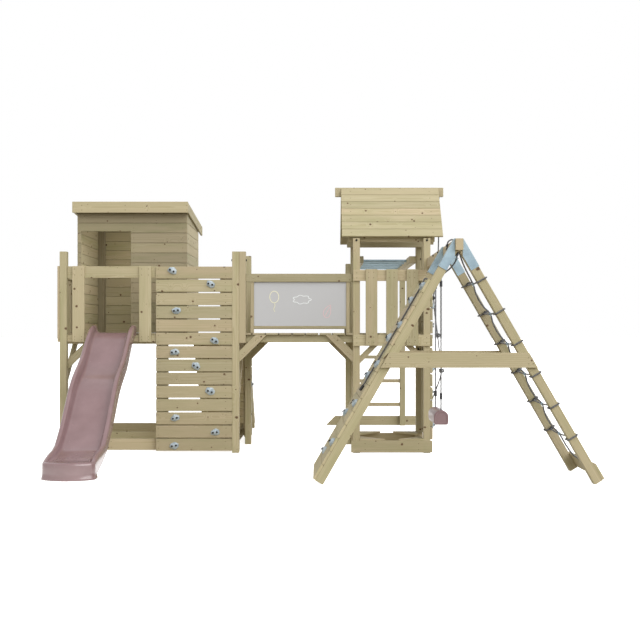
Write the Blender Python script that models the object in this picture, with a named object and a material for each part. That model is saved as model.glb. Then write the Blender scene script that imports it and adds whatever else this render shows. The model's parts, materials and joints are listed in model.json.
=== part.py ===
"""Wooden play tower with a playhouse, a bridge, a slide, monkey bars, a climbing A-frame and a swing.

Everything is in metres. While it is being laid out, X runs to the right along the front of the towers,
Y runs back from the front face of the tower posts, and Z runs up from the ground. One empty carries
every piece and moves the layout so that the origin is the middle of the footprint, on the ground.
"""
import math

import bmesh
import bpy
from mathutils import Matrix, Vector

# Timber sections and small clearances
POST = 0.070
BOARD_WIDTH = 0.120
BOARD = 0.022
JOIST = 0.045
GAP = 0.0003
BITE = 0.0015
BOARD_PITCH = 0.1326
WALL_BATTEN = 0.0220

# Heights
DECK_TOP = 1.200
DECK_UNDER = DECK_TOP - 0.020
BEAM_UNDER = 1.090
LEFT_POST_TOP = 2.016
RIGHT_POST_TOP = 2.150
WALL_FOOT = 0.021
BASE_BOARD = 0.113
FENCE_TOP = 1.870
FENCE_FOOT = 1.110

# Left platform: outer faces of its posts
LEFT_OUT = -2.605
LEFT_IN = -0.810
LEFT_BACK = 1.480
MIDDLE_ROW = 0.705

# Playhouse on the left platform
HOUSE_LEFT = -2.536
HOUSE_RIGHT = -1.390
HOUSE_FRONT = 0.410
HOUSE_BACK = 1.300
HOUSE_WALL = 0.020
CLADDING_PITCH = 0.1045
DOOR = (-2.498, -1.978)
DOOR_TOP = 2.263
ROOF_LEFT = -2.567
ROOF_RIGHT = -1.3675
ROOF_FRONT = 0.320
ROOF_BACK = 1.480
ROOF_FRONT_TOP = 2.556
ROOF_BACK_TOP = 2.430
FASCIA_DROP = 0.115

# Slide
SLIDE_CENTRE = -2.060
SLIDE_WIDTH = 0.440
SLIDE_BED = 0.350
SLIDE_SHELL = 0.012
SLIDE_TOP_END = 0.019
SLIDE_TOE = -1.640
SLIDE_BOW = 0.078
SLIDE_LIP = 0.143

# Bridge between the two towers
BRIDGE_LEFT = LEFT_IN + GAP
BRIDGE_SHORT_POST = 0.066
BRIDGE_REAR_POST = 0.054
BRIDGE_RAIL = (1.712, 1.794)
BRIDGE_LOW_RAIL = (1.243, 1.270)
BATTEN = 0.034
CLEAT = 0.012
PANEL = 0.006

# Right tower: outer faces of its posts
TOWER_LEFT = 0.330
TOWER_SIZE = 0.775
TOWER_RIGHT = TOWER_LEFT + TOWER_SIZE
RIDGE_TOP = 2.712
RIDGE_DEPTH = 0.093
RIDGE_ENDS = (0.157, 1.283)
ROOF_ENDS = (0.219, 1.231)
EAVES_Z = 2.169
EAVES_Y = -0.012
ROOF_BOARDS = 7
EAVES_BEAM = (2.120, 2.210)
EAVES_BEAM_ENDS = (0.290, 1.156)

# Monkey bars behind the right tower
RAIL_TOP = 2.030
RAIL_DEPTH = 0.075
RAIL_FRONT = 0.700
LADDER_Y = 2.670
RUNG_COUNT = 5
RUNG_FIRST = 1.060
RUNG_PITCH = 0.285
RUNG_RADIUS = 0.016
RUNG_Z = 2.005
RUNG_SOCKET = 0.045

# Climbing A-frames in front of the right tower
FRAME_X = 1.099
APEX_Z = 1.933
FOOT_Z = 0.015
LEG_ANGLE = math.radians(60)
FRONT_FRAME_Y = -1.885
REAR_FRAME_Y = -1.185
BEAM_WIDTH = 0.060
BEAM_TOP = 1.945
BEAM_FOOT = 1.853
LEG_TOP = 1.933
BEAM_FRONT = -1.930
CROSSBAR = (0.925, 1.045)
BRACKET_ARM = 0.270
BRACKET_SHEET = 0.004
ROCK_BOARDS = 14
ROCK_FOOT = 0.004
ROCK_FIRST = 0.1385
ROCK_PITCH = 0.121
ROCK_THICK = 0.022

# Net on the right legs
NET_ROPE = 0.007
NET_RUNGS = 6
NET_FIRST = 0.413
NET_PITCH = 0.288
NET_INWARD = 0.004
NET_SAG = 0.010
NET_BULGE = 0.024
NET_TOP_X = 1.120
NET_TOP_Y = -1.780

# Thick climbing ropes
CLIMB_ROPE = 0.007

# Swing between the rear A-frame and the tower
SWING_ROPES_Y = (-0.830, -0.450)
SWING_PIVOT_Z = 1.800
EYE_RADIUS = 0.0105
EYE_DROP = 0.0025
SEAT_UNDER = 0.368
SEAT_HEIGHT = 0.131
SEAT_LENGTH = 0.430
SEAT_HALF_WIDTH = 0.066

# Origin of the finished piece, in the layout's own coordinates
TOE_OFF = POST / 2 + GAP + BOARD
TOE_RIGHT = (FRAME_X + (APEX_Z - FOOT_Z) / math.tan(LEG_ANGLE) - ROCK_FOOT * math.cos(LEG_ANGLE)
             + TOE_OFF * math.sin(LEG_ANGLE))
SIDE_SLATS = LEFT_OUT - GAP - BOARD
LADDER_BACK = LADDER_Y + POST + GAP + BOARD
CENTRE_X = (SIDE_SLATS + TOE_RIGHT) / 2
CENTRE_Y = (BEAM_FRONT + LADDER_BACK) / 2

WOOD = (0.50, 0.44, 0.30)


def clear_scene():
    """Remove whatever the open file holds."""
    for item in list(bpy.data.objects):
        bpy.data.objects.remove(item, do_unlink=True)


def material(name, colour, roughness, metallic=0.0, alpha=1.0):
    """Return a Principled material of that name, made once."""
    found = bpy.data.materials.get(name)
    if found:
        return found
    made = bpy.data.materials.new(name)
    made.use_nodes = True
    shader = made.node_tree.nodes["Principled BSDF"]
    shader.inputs["Base Color"].default_value = (*colour, 1.0)
    shader.inputs["Roughness"].default_value = roughness
    shader.inputs["Metallic"].default_value = metallic
    shader.inputs["Alpha"].default_value = alpha
    made.diffuse_color = (*colour, alpha)
    return made


def pine(name):
    """Pressure-treated pine, one material for each piece."""
    return material(name + "_pine", WOOD, 0.75)


def painted_steel(name):
    """Blue-grey powder-coated steel."""
    return material(name + "_steel", (0.38, 0.47, 0.53), 0.45, 0.4)


def rope_fibre(name):
    """Dark grey braided rope."""
    return material(name + "_rope", (0.10, 0.10, 0.11), 0.9)


def block(x0, x1, y0, y1, z0, z1):
    """Return a box as a prism: an outline in XZ with a start and an end along Y."""
    return prism("y", [(x0, z0), (x1, z0), (x1, z1), (x0, z1)], y0, y1)


def prism(axis, outline, start, end):
    """Return an outline to be pushed along an axis.

    The outline is in YZ for axis x, in XZ for axis y and in XY for axis z.
    """
    return {"axis": axis, "outline": outline, "start": start, "end": end}


def lift(axis, point, height):
    """Place a point of an outline at a height along the axis."""
    a, b = point
    if axis == "x":
        return Vector((height, a, b))
    if axis == "y":
        return Vector((a, height, b))
    return Vector((a, b, height))


def fill(bm, shapes):
    """Add each prism of the list to the mesh as a closed solid."""
    for shape in shapes:
        axis = shape["axis"]
        ring = [bm.verts.new(lift(axis, p, shape["start"])) for p in shape["outline"]]
        base = bm.faces.new(ring)
        pushed = bmesh.ops.extrude_face_region(bm, geom=[base])
        tops = [v for v in pushed["geom"] if isinstance(v, bmesh.types.BMVert)]
        travel = lift(axis, (0.0, 0.0), shape["end"] - shape["start"])
        bmesh.ops.translate(bm, vec=travel, verts=tops)
    bmesh.ops.recalc_face_normals(bm, faces=bm.faces)


def mesh_object(name, bm):
    """Turn a bmesh into an object of that name, linked to the scene."""
    mesh = bpy.data.meshes.new(name)
    bm.to_mesh(mesh)
    bm.free()
    made = bpy.data.objects.new(name, mesh)
    bpy.context.scene.collection.objects.link(made)
    return made


def solid(name, shapes):
    """Return an object that holds separate prisms."""
    bm = bmesh.new()
    fill(bm, shapes)
    return mesh_object(name, bm)


def combine(target, tool, operation):
    """Apply a Boolean to the target and remove the tool."""
    step = target.modifiers.new(operation, "BOOLEAN")
    step.operation = operation
    step.solver = "EXACT"
    step.object = tool
    graph = bpy.context.evaluated_depsgraph_get()
    result = bpy.data.meshes.new_from_object(target.evaluated_get(graph))
    target.modifiers.clear()
    target.data = result
    bpy.data.objects.remove(tool, do_unlink=True)


def joined(name, first, *others):
    """Unite groups of solids. The solids inside one group don't meet each other."""
    made = first if isinstance(first, bpy.types.Object) else solid(name, first)
    for group in others:
        tool = group if isinstance(group, bpy.types.Object) else solid(name + "_part", group)
        combine(made, tool, "UNION")
    return made


def cut(target, shapes):
    """Cut a group of solids out of the target."""
    tool = shapes if isinstance(shapes, bpy.types.Object) else solid(target.name + "_cut", shapes)
    combine(target, tool, "DIFFERENCE")


def finish(made, look, carrier):
    """Tidy a piece's mesh, give it its material and hang it on the carrier."""
    bm = bmesh.new()
    bm.from_mesh(made.data)
    bmesh.ops.remove_doubles(bm, verts=bm.verts, dist=0.00001)
    bmesh.ops.dissolve_degenerate(bm, edges=bm.edges, dist=0.00001)
    bm.to_mesh(made.data)
    bm.free()
    made.data.materials.clear()
    made.data.materials.append(look)
    made.parent = carrier
    return made


def smooth(made, angle=math.radians(40)):
    """Shade a round piece smooth, with its sharp edges kept."""
    made.data.shade_smooth()
    made.data.set_sharp_from_angle(angle=angle)


def post(name, x, y, top, carrier):
    """A square post that stands on the ground."""
    made = solid(name, [block(x, x + POST, y, y + POST, 0.0, top)])
    return finish(made, pine(name), carrier)


def cord_object(name, points, radius, sides=8, cyclic=False):
    """Return a round tube through points, as a curve object. A point may carry its own scale."""
    curve = bpy.data.curves.new(name, "CURVE")
    curve.dimensions = "3D"
    curve.bevel_depth = radius
    curve.bevel_resolution = (sides - 4) // 2
    curve.use_fill_caps = not cyclic
    line = curve.splines.new("POLY")
    line.points.add(len(points) - 1)
    for knot, point in zip(line.points, points):
        knot.co = (*point[:3], 1.0)
        knot.radius = point[3] if len(point) > 3 else 1.0
    line.use_cyclic_u = cyclic
    made = bpy.data.objects.new(name, curve)
    bpy.context.scene.collection.objects.link(made)
    return made


def tube_object(name, points, radius, sides=8, cyclic=False):
    """Return the same tube as a closed mesh."""
    wire = cord_object(name + "_line", points, radius, sides, cyclic)
    graph = bpy.context.evaluated_depsgraph_get()
    mesh = bpy.data.meshes.new_from_object(wire.evaluated_get(graph))
    bpy.data.objects.remove(wire, do_unlink=True)
    bm = bmesh.new()
    bm.from_mesh(mesh)
    bmesh.ops.remove_doubles(bm, verts=bm.verts, dist=0.00001)
    bmesh.ops.recalc_face_normals(bm, faces=bm.faces)
    return mesh_object(name, bm)


def hang(made, look, carrier):
    """Give a curve its material and hang it on the carrier."""
    made.data.materials.append(look)
    made.parent = carrier


def hold(bm, centre, out, along, size=0.045, height=0.036):
    """Add one climbing hold: a low six-sided lump, wide where it meets the board."""
    side = along.cross(out).normalized()
    rings = ((1.0, -0.002), (0.96, height * 0.55), (0.50, height))
    loops = []
    for scale, rise in rings:
        loop = []
        for step in range(6):
            turn = math.radians(60 * step + 20)
            reach = size * scale * (1.12 if step in (1, 4) else 0.92)
            flat = along * math.cos(turn) * reach + side * math.sin(turn) * reach
            loop.append(bm.verts.new(centre + flat + out * rise))
        loops.append(loop)
    bm.faces.new(loops[0])
    bm.faces.new(loops[-1])
    for lower, upper in zip(loops, loops[1:]):
        for step in range(6):
            after = (step + 1) % 6
            bm.faces.new((lower[step], lower[after], upper[after], upper[step]))


def holds(name, places, out, along):
    """Return a group of climbing holds at places on one face."""
    bm = bmesh.new()
    for place in places:
        hold(bm, Vector(place), Vector(out), Vector(along))
    bmesh.ops.recalc_face_normals(bm, faces=bm.faces)
    return mesh_object(name, bm)


def stacked_boards(x0, x1, y0, y1, foot, count):
    """Horizontal boards with an open gap above each."""
    shapes = []
    for row in range(count):
        low = foot + row * BOARD_PITCH
        shapes.append(block(x0, x1, y0, y1, low, low + BOARD_WIDTH))
    return shapes


def brace_xz(corner_x, top_z, low_z, direction, y0, y1, width=POST):
    """A 45 degree brace in the XZ plane that starts on a post face at corner_x."""
    drop = width * math.sqrt(2)
    outline = [
        (corner_x, low_z),
        (corner_x, low_z + drop),
        (corner_x + direction * (top_z - low_z - drop), top_z),
        (corner_x + direction * (top_z - low_z), top_z),
    ]
    return prism("y", outline, y0, y1)


def brace_yz(corner_y, top_z, low_z, x0, x1, width=POST):
    """A 45 degree brace in the YZ plane that starts on the back of a post."""
    drop = width * math.sqrt(2)
    outline = [
        (corner_y, low_z),
        (corner_y, low_z + drop),
        (corner_y + top_z - low_z - drop, top_z),
        (corner_y + top_z - low_z, top_z),
    ]
    return prism("x", outline, x0, x1)


def cladding(base, top, face, inner, pitch, groove=0.003):
    """Outline of a wall of lapped boards: a flat back and a V groove at each seam of the face."""
    out = 1.0 if face > inner else -1.0
    outline = [(inner, base), (inner, top), (face, top)]
    seams = int((top - base - 0.01) / pitch)
    for row in range(seams, 0, -1):
        level = base + row * pitch
        if top - level < 0.02:
            continue
        outline.append((face, level + groove))
        outline.append((face - out * groove, level))
        outline.append((face, level - groove))
    outline.append((face, base))
    return outline


# Left platform

def left_posts(carrier):
    """The four posts of the left platform."""
    right = LEFT_IN - POST
    back = LEFT_BACK - POST
    post("left_front_left_post", LEFT_OUT, 0.0, LEFT_POST_TOP, carrier)
    post("left_front_right_post", right, 0.0, LEFT_POST_TOP, carrier)
    post("left_rear_left_post", LEFT_OUT, back, LEFT_POST_TOP, carrier)
    post("left_rear_right_post", right, back, LEFT_POST_TOP, carrier)


def left_deck(carrier):
    """Deck boards, the beams under them and the knee braces of the front left corner."""
    x0 = LEFT_OUT + POST + GAP
    x1 = LEFT_IN - POST - GAP
    bay = MIDDLE_ROW + POST + GAP
    boards = []
    pitch = (LEFT_IN - LEFT_OUT + 0.013) / 14
    for row in range(14):
        low = LEFT_OUT + row * pitch
        high = low + pitch - 0.013
        at_post = low < x0 or high > x1
        front = POST + GAP if at_post else 0.0457
        back = LEFT_BACK - POST - GAP if at_post else LEFT_BACK
        plan = [(low, front), (high, front), (high, back), (low, back)]
        if row == 13:
            plan[2:3] = [(high, bay), (high - WALL_BATTEN, bay), (high - WALL_BATTEN, back)]
        boards.append(prism("z", plan, DECK_UNDER, DECK_TOP))
    under = DECK_UNDER + BITE
    across = [
        block(x0, x1, JOIST + 0.001, 2 * JOIST + 0.001, BEAM_UNDER, under),
        block(x0 + 0.01, x1 - 0.01, 0.70, 0.70 + JOIST, BEAM_UNDER + 0.002, under),
        block(x0, x1, LEFT_BACK - POST, LEFT_BACK - POST + JOIST, BEAM_UNDER, under),
    ]
    side = [
        block(LEFT_OUT, LEFT_OUT + JOIST, POST + GAP, LEFT_BACK - POST - GAP, BEAM_UNDER, under),
        block(x1, LEFT_IN - WALL_BATTEN, bay, LEFT_BACK - POST - GAP, BEAM_UNDER, under),
    ]
    braces = [
        brace_xz(x0, BEAM_UNDER + 0.004, 0.840, 1, 0.052, 0.084),
        brace_yz(POST + GAP, BEAM_UNDER + 0.004, 0.600, LEFT_OUT + 0.003, LEFT_OUT + 0.038),
        brace_yz(POST + GAP, under, 0.480, LEFT_IN - 0.038, LEFT_IN - 0.003),
    ]
    made = joined("left_deck", boards, across, side, braces)
    finish(made, pine("left_deck"), carrier)


def left_base_frame(carrier):
    """Boards that tie the posts together just above the ground."""
    top = WALL_FOOT + BASE_BOARD
    front = POST + GAP
    back = LEFT_BACK - POST - GAP
    along = [
        block(LEFT_OUT, LEFT_IN, front, front + BOARD, WALL_FOOT, top),
        block(LEFT_OUT + POST + 0.01, LEFT_IN - POST - 0.01, MIDDLE_ROW, MIDDLE_ROW + BOARD, WALL_FOOT, top),
        block(LEFT_OUT, LEFT_IN, back - BOARD, back, WALL_FOOT, top + 0.028),
    ]
    inner = front + BOARD - BITE
    outer = back - BOARD + BITE
    low = WALL_FOOT + 0.001
    high = top - 0.001
    left = LEFT_OUT + POST + GAP
    right = LEFT_IN - POST - GAP
    across = [
        block(left, left + BOARD, inner, outer, low, high),
        block(right - BOARD, right, inner, outer, low, high),
    ]
    made = joined("left_base_frame", along, across)
    finish(made, pine("left_base_frame"), carrier)


def left_front_fence(carrier):
    """The two slats beside the slide and the rails that carry them."""
    x0 = LEFT_OUT + POST + GAP
    x1 = WALL_X[0] - GAP
    rails = [
        block(x0, x1, BOARD - BITE, JOIST, FENCE_TOP - 0.118, FENCE_TOP - 0.001),
        block(x0, x1, BOARD - BITE, JOIST, FENCE_FOOT + 0.001, DECK_UNDER),
    ]
    slats = []
    for x in (-2.479, -1.810):
        slats.append(block(x, x + 0.121, 0.0, BOARD, FENCE_FOOT, FENCE_TOP))
    made = joined("left_front_fence", rails, slats)
    finish(made, pine("left_front_fence"), carrier)


def left_side_fence(carrier):
    """Upright slats down the left side of the platform, on a rail between the posts."""
    y0 = POST + GAP
    y1 = LEFT_BACK - POST - GAP
    face = LEFT_OUT - GAP
    rail = [block(face - BITE, LEFT_OUT + 0.02, y0, y1, FENCE_TOP - 0.118, FENCE_TOP - 0.001)]
    slats = []
    count = 11
    pitch = (LEFT_BACK - BOARD_WIDTH) / (count - 1)
    for row in range(count):
        start = row * pitch
        slats.append(block(face - BOARD, face, start, start + BOARD_WIDTH, FENCE_FOOT, FENCE_TOP))
    made = joined("left_side_fence", rail, slats)
    finish(made, pine("left_side_fence"), carrier)


WALL_X = (-1.641, LEFT_IN - POST - GAP)
WALL_BOARDS = 14
WALL_HOLDS = (
    (-1.478, 1.822), (-1.094, 1.687), (-1.437, 1.424), (-1.054, 1.125), (-1.457, 1.011),
    (-1.240, 0.867), (-1.098, 0.617), (-1.447, 0.351), (-1.049, 0.208), (-1.457, 0.074),
)


def front_climbing_wall(carrier):
    """Fourteen boards with open gaps on two upright battens, with ten holds."""
    x0, x1 = WALL_X
    boards = stacked_boards(x0, x1, 0.0, BOARD, WALL_FOOT, WALL_BOARDS)
    y0 = BOARD - BITE
    top = WALL_FOOT + WALL_BOARDS * BOARD_PITCH - 0.016
    low = WALL_FOOT + 0.004
    battens = [
        block(x0 + 0.001, x0 + 0.001 + BOARD_WIDTH, y0, JOIST, low, top),
        block(x1 - 0.001 - BOARD_WIDTH, x1 - 0.001, y0, JOIST, low, top),
    ]
    places = [(x, 0.0, z) for x, z in WALL_HOLDS]
    lumps = holds("front_wall_holds", places, (0, -1, 0), (1, 0, 0))
    made = joined("front_climbing_wall", boards, battens, lumps)
    finish(made, pine("front_climbing_wall"), carrier)


SIDE_HOLDS = ((0.95, 0.30), (1.22, 0.62), (0.98, 0.72), (1.24, 1.02), (1.00, 1.42), (1.22, 1.68))


def left_side_climbing_wall(carrier):
    """Climbing wall on the right side of the left platform, behind the bridge."""
    y0 = MIDDLE_ROW + POST + GAP
    y1 = LEFT_BACK
    x0 = LEFT_IN + GAP
    boards = []
    for row in range(WALL_BOARDS):
        z0 = WALL_FOOT + row * BOARD_PITCH
        boards.append(block(x0, x0 + BOARD, y0, y1, z0, z0 + BOARD_WIDTH))
    top = WALL_FOOT + WALL_BOARDS * BOARD_PITCH - 0.016
    low = WALL_FOOT + BASE_BOARD + 0.028 + GAP
    y2 = LEFT_BACK - POST - GAP
    battens = [
        block(LEFT_IN - WALL_BATTEN + GAP, x0 + BITE, y2 - 0.073, y2 - BOARD - GAP, WALL_FOOT + 0.01, top),
        block(LEFT_IN - WALL_BATTEN + GAP, x0 + BITE, y0 + 0.001, y0 + 0.05, low, top),
    ]
    places = [(x0 + BOARD, y, z) for y, z in SIDE_HOLDS]
    lumps = holds("side_wall_holds", places, (1, 0, 0), (0, 1, 0))
    made = joined("left_side_climbing_wall", boards, battens, lumps)
    finish(made, pine("left_side_climbing_wall"), carrier)


def sloped(origin, direction, normal, a0, a1, n0, n1):
    """Four corners of a slanted board: distances along the slope and off it."""
    corners = []
    for a, n in ((a0, n0), (a1, n0), (a1, n1), (a0, n1)):
        corners.append((origin[0] + direction[0] * a + normal[0] * n,
                        origin[1] + direction[1] * a + normal[1] * n))
    return corners


RAMP_ANGLE = math.radians(50)
RAMP_BOARDS = 11
RAMP_X = (-1.485, -0.822)


def rear_ramp(carrier):
    """Sloping boarded ramp up to the back of the left platform."""
    down = (math.cos(RAMP_ANGLE), -math.sin(RAMP_ANGLE))
    up = (math.sin(RAMP_ANGLE), math.cos(RAMP_ANGLE))
    start = (LEFT_BACK + GAP, DECK_TOP)
    boards = []
    for row in range(RAMP_BOARDS):
        a0 = 0.030 + row * BOARD_PITCH
        outline = sloped(start, down, up, a0, a0 + BOARD_WIDTH, -BOARD, 0.0)
        boards.append(prism("x", outline, *RAMP_X))
    depth = BOARD + POST
    skin = BOARD - BITE
    y0 = start[0]
    tan = math.tan(RAMP_ANGLE)
    drop_in = skin / math.cos(RAMP_ANGLE)
    drop_out = depth / math.cos(RAMP_ANGLE)
    outline = [
        (y0, DECK_TOP - drop_in),
        (y0 + (DECK_TOP - drop_in) / tan, 0.0),
        (y0 + (DECK_TOP - drop_out) / tan, 0.0),
        (y0, DECK_TOP - drop_out),
    ]
    stringers = []
    for x in (RAMP_X[0] + 0.040, RAMP_X[1] - 0.005 - JOIST):
        stringers.append(prism("x", outline, x, x + JOIST))
    made = joined("rear_ramp", boards, stringers)
    finish(made, pine("rear_ramp"), carrier)


# Playhouse

def roof_drop(y):
    """Height of the playhouse roof's upper face at a depth."""
    share = (y - ROOF_FRONT) / (ROOF_BACK - ROOF_FRONT)
    return ROOF_FRONT_TOP + share * (ROOF_BACK_TOP - ROOF_FRONT_TOP)


def house_walls(carrier):
    """Front wall with its doorway, two side walls and the back wall."""
    base = DECK_TOP + GAP
    under = 0.0235
    front_top = roof_drop(HOUSE_FRONT + HOUSE_WALL) - under
    outline = cladding(base, front_top, HOUSE_FRONT, HOUSE_FRONT + HOUSE_WALL, CLADDING_PITCH)
    front = solid("house_front_wall", [prism("x", outline, HOUSE_LEFT, HOUSE_RIGHT)])
    cut(front, [block(DOOR[0], DOOR[1], HOUSE_FRONT - 0.1, HOUSE_FRONT + 0.1, base - 0.1, DOOR_TOP)])
    finish(front, pine("house_front_wall"), carrier)

    back_top = roof_drop(HOUSE_BACK) - under
    outline = cladding(base, back_top, HOUSE_BACK, HOUSE_BACK - HOUSE_WALL, CLADDING_PITCH)
    back = solid("house_back_wall", [prism("x", outline, HOUSE_LEFT, HOUSE_RIGHT)])
    finish(back, pine("house_back_wall"), carrier)

    y0 = HOUSE_FRONT + HOUSE_WALL + GAP
    y1 = HOUSE_BACK - HOUSE_WALL - GAP
    for name, face, inner in (
        ("house_left_wall", HOUSE_LEFT, HOUSE_LEFT + HOUSE_WALL),
        ("house_right_wall", HOUSE_RIGHT, HOUSE_RIGHT - HOUSE_WALL),
    ):
        outline = cladding(base, roof_drop(y0) + 0.02, face, inner, CLADDING_PITCH)
        wall = solid(name, [prism("y", outline, y0, y1)])
        slope = [
            (y0 - 0.1, roof_drop(y0 - 0.1) - under),
            (y1 + 0.1, roof_drop(y1 + 0.1) - under),
            (y1 + 0.1, 3.0),
            (y0 - 0.1, 3.0),
        ]
        cut(wall, [prism("x", slope, face - 0.1, face + 0.1)])
        if face == HOUSE_LEFT:
            top = roof_drop(y1) - under - 0.001
            stud = block(inner - BITE, inner + POST, HOUSE_BACK - 0.095, y1, base, top)
            combine(wall, solid("corner_stud", [stud]), "UNION")
        finish(wall, pine(name), carrier)


def house_roof(carrier):
    """Single-pitch roof that falls to the back, with a fascia and two barge boards."""
    thick = 0.020
    back = ROOF_FRONT + 0.021
    slab = [
        (back - BITE, roof_drop(back) - thick),
        (back - BITE, roof_drop(back)),
        (ROOF_BACK, ROOF_BACK_TOP),
        (ROOF_BACK, ROOF_BACK_TOP - thick),
    ]
    x0, x1 = ROOF_LEFT, ROOF_RIGHT
    board = 0.021
    top = ROOF_FRONT_TOP + 0.005
    fascia = [block(x0, x1, ROOF_FRONT, back, top - FASCIA_DROP, top)]
    barge = [
        (back - BITE, roof_drop(back) - 0.100),
        (back - BITE, roof_drop(back) + 0.002),
        (ROOF_BACK - 0.001, ROOF_BACK_TOP + 0.002),
        (ROOF_BACK - 0.001, ROOF_BACK_TOP - 0.100),
    ]
    sides = [
        prism("x", barge, x0 + 0.0005, x0 + board),
        prism("x", barge, x1 - board, x1 - 0.0005),
    ]
    deck = [prism("x", slab, x0 + board - BITE, x1 - board + BITE)]
    made = joined("house_roof", deck, sides, fascia)
    finish(made, pine("house_roof"), carrier)


# Slide

SLIDE_ROUTE = (
    (0.000, 1.208), (-0.070, 1.200), (-0.160, 1.150), (-0.290, 1.030), (-0.420, 0.905),
    (-0.540, 0.820), (-0.660, 0.750), (-0.780, 0.660), (-0.920, 0.515), (-1.060, 0.370),
    (-1.190, 0.262), (-1.275, 0.202), (-1.330, 0.180), (-1.430, 0.156), (-1.550, 0.141), (-1.650, 0.131),
)


def slide_rise(share, y):
    """Height of the side walls at a share of the run and a depth: they run out into the toe."""
    rise = 0.070 + 0.045 * math.sin(math.pi * min(share * 1.15, 1.0)) - 0.020 * share
    fade = min(max((y - SLIDE_TOE) / 0.220, 0.0), 1.0)
    return 0.012 + (rise - 0.012) * fade * (2 - fade)


def slide_skirt(y):
    """Depth of the skirts below the bed at a depth: they grow toward the toe."""
    return 0.030 + 0.060 * min(max((-1.270 - y) / 0.300, 0.0), 1.0)


def slide_section(rise, skirt):
    """Half-open channel of the slide, seen along its run: across, and up from the bed."""
    half = SLIDE_WIDTH / 2
    bed = SLIDE_BED / 2
    shell = SLIDE_SHELL
    return (
        (-half, -skirt), (-half, rise - 0.012), (-half + 0.014, rise), (-bed - 0.012, rise),
        (-bed - 0.002, rise - 0.014), (-bed + 0.022, 0.006), (-bed + 0.050, 0.0),
        (bed - 0.050, 0.0), (bed - 0.022, 0.006), (bed + 0.002, rise - 0.014),
        (bed + 0.012, rise), (half - 0.014, rise), (half, rise - 0.012), (half, -skirt),
        (half - shell, -skirt), (half - shell, -0.012), (-half + shell, -0.012),
        (-half + shell, -skirt),
    )


def slide(carrier):
    """Moulded wavy slide: a channel swept down the route, with a closed toe that meets the ground."""
    bm = bmesh.new()
    loops = []
    count = len(SLIDE_ROUTE)
    for step, (y, z) in enumerate(SLIDE_ROUTE):
        before = SLIDE_ROUTE[max(step - 1, 0)]
        after = SLIDE_ROUTE[min(step + 1, count - 1)]
        run = Vector((0.0, after[0] - before[0], after[1] - before[1])).normalized()
        up = Vector((0.0, run.z, -run.y))
        share = step / (count - 1)
        centre = Vector((SLIDE_CENTRE, y + SLIDE_TOP_END, z))
        if step in (0, count - 1):
            up = Vector((0.0, 0.0, 1.0))
        loop = []
        for across, high in slide_section(slide_rise(share, centre.y), slide_skirt(centre.y)):
            loop.append(bm.verts.new(centre + Vector((across, 0, 0)) + up * high))
        loops.append(loop)
    for first, second in zip(loops, loops[1:]):
        for step in range(len(first)):
            after = (step + 1) % len(first)
            bm.faces.new((first[step], first[after], second[after], second[step]))
    bm.faces.new(loops[0])
    bm.faces.new(loops[-1])
    bmesh.ops.recalc_face_normals(bm, faces=bm.faces)
    made = mesh_object("slide", bm)
    half = SLIDE_WIDTH / 2 + 0.003
    corner = 0.030
    toe = [(SLIDE_CENTRE - half, SLIDE_TOE + 0.060), (SLIDE_CENTRE + half, SLIDE_TOE + 0.060)]
    for step in range(17):
        across = half * math.cos(math.pi * step / 16)
        inset = max(abs(across) - half + corner, 0.0)
        bow = SLIDE_BOW * (1 - (across / half) ** 2)
        toe.append((SLIDE_CENTRE + across, SLIDE_TOE - bow - math.sqrt(corner ** 2 - inset ** 2) + 0.010))
    lip = solid("slide_toe", [prism("z", toe, 0.0, SLIDE_LIP)])
    combine(made, lip, "UNION")
    smooth(made)
    finish(made, material("slide_plastic", (0.52, 0.33, 0.33), 0.4), carrier)


# Bridge

def bridge_frames(carrier):
    """Front and rear frames: the posts beside each tower, a beam and two knee braces."""
    left = BRIDGE_LEFT
    right = TOWER_LEFT - GAP
    short = BRIDGE_SHORT_POST
    beam_top = DECK_UNDER - GAP
    y0, y1 = 0.036, 0.0695
    beam_foot = 1.105
    low = 0.905
    front = joined(
        "bridge_front_frame",
        [block(left, left + short, 0.0, POST, beam_foot - 0.005, LEFT_POST_TOP)],
        [block(left + short - BITE, right, y0, y1, beam_foot, beam_top)],
        [
            brace_xz(left, beam_top, low, 1, 0.0005, y0 + BITE, 0.080),
            brace_xz(right, beam_top, low, -1, 0.0005, y0 + BITE, 0.080),
        ],
    )
    finish(front, pine("bridge_front_frame"), carrier)

    y0 = MIDDLE_ROW + 0.0125
    y1 = y0 + JOIST
    low = 0.915
    inner = right - BRIDGE_REAR_POST
    posts = [
        block(left, left + short, MIDDLE_ROW, MIDDLE_ROW + POST, 0.0, LEFT_POST_TOP + 0.015),
        block(inner, right, MIDDLE_ROW, MIDDLE_ROW + POST, 0.0, LEFT_POST_TOP - 0.07),
    ]
    rear = joined(
        "bridge_rear_frame",
        posts,
        [block(left + short - BITE, inner + BITE, y0, y1, beam_foot, beam_top)],
        [
            brace_xz(left + short - BITE, beam_foot + 0.003, low, 1, y0 + 0.002, y1 - 0.002),
            brace_xz(inner + BITE, beam_foot + 0.003, low, -1, y0 + 0.002, y1 - 0.002),
        ],
    )
    finish(rear, pine("bridge_rear_frame"), carrier)


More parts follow.
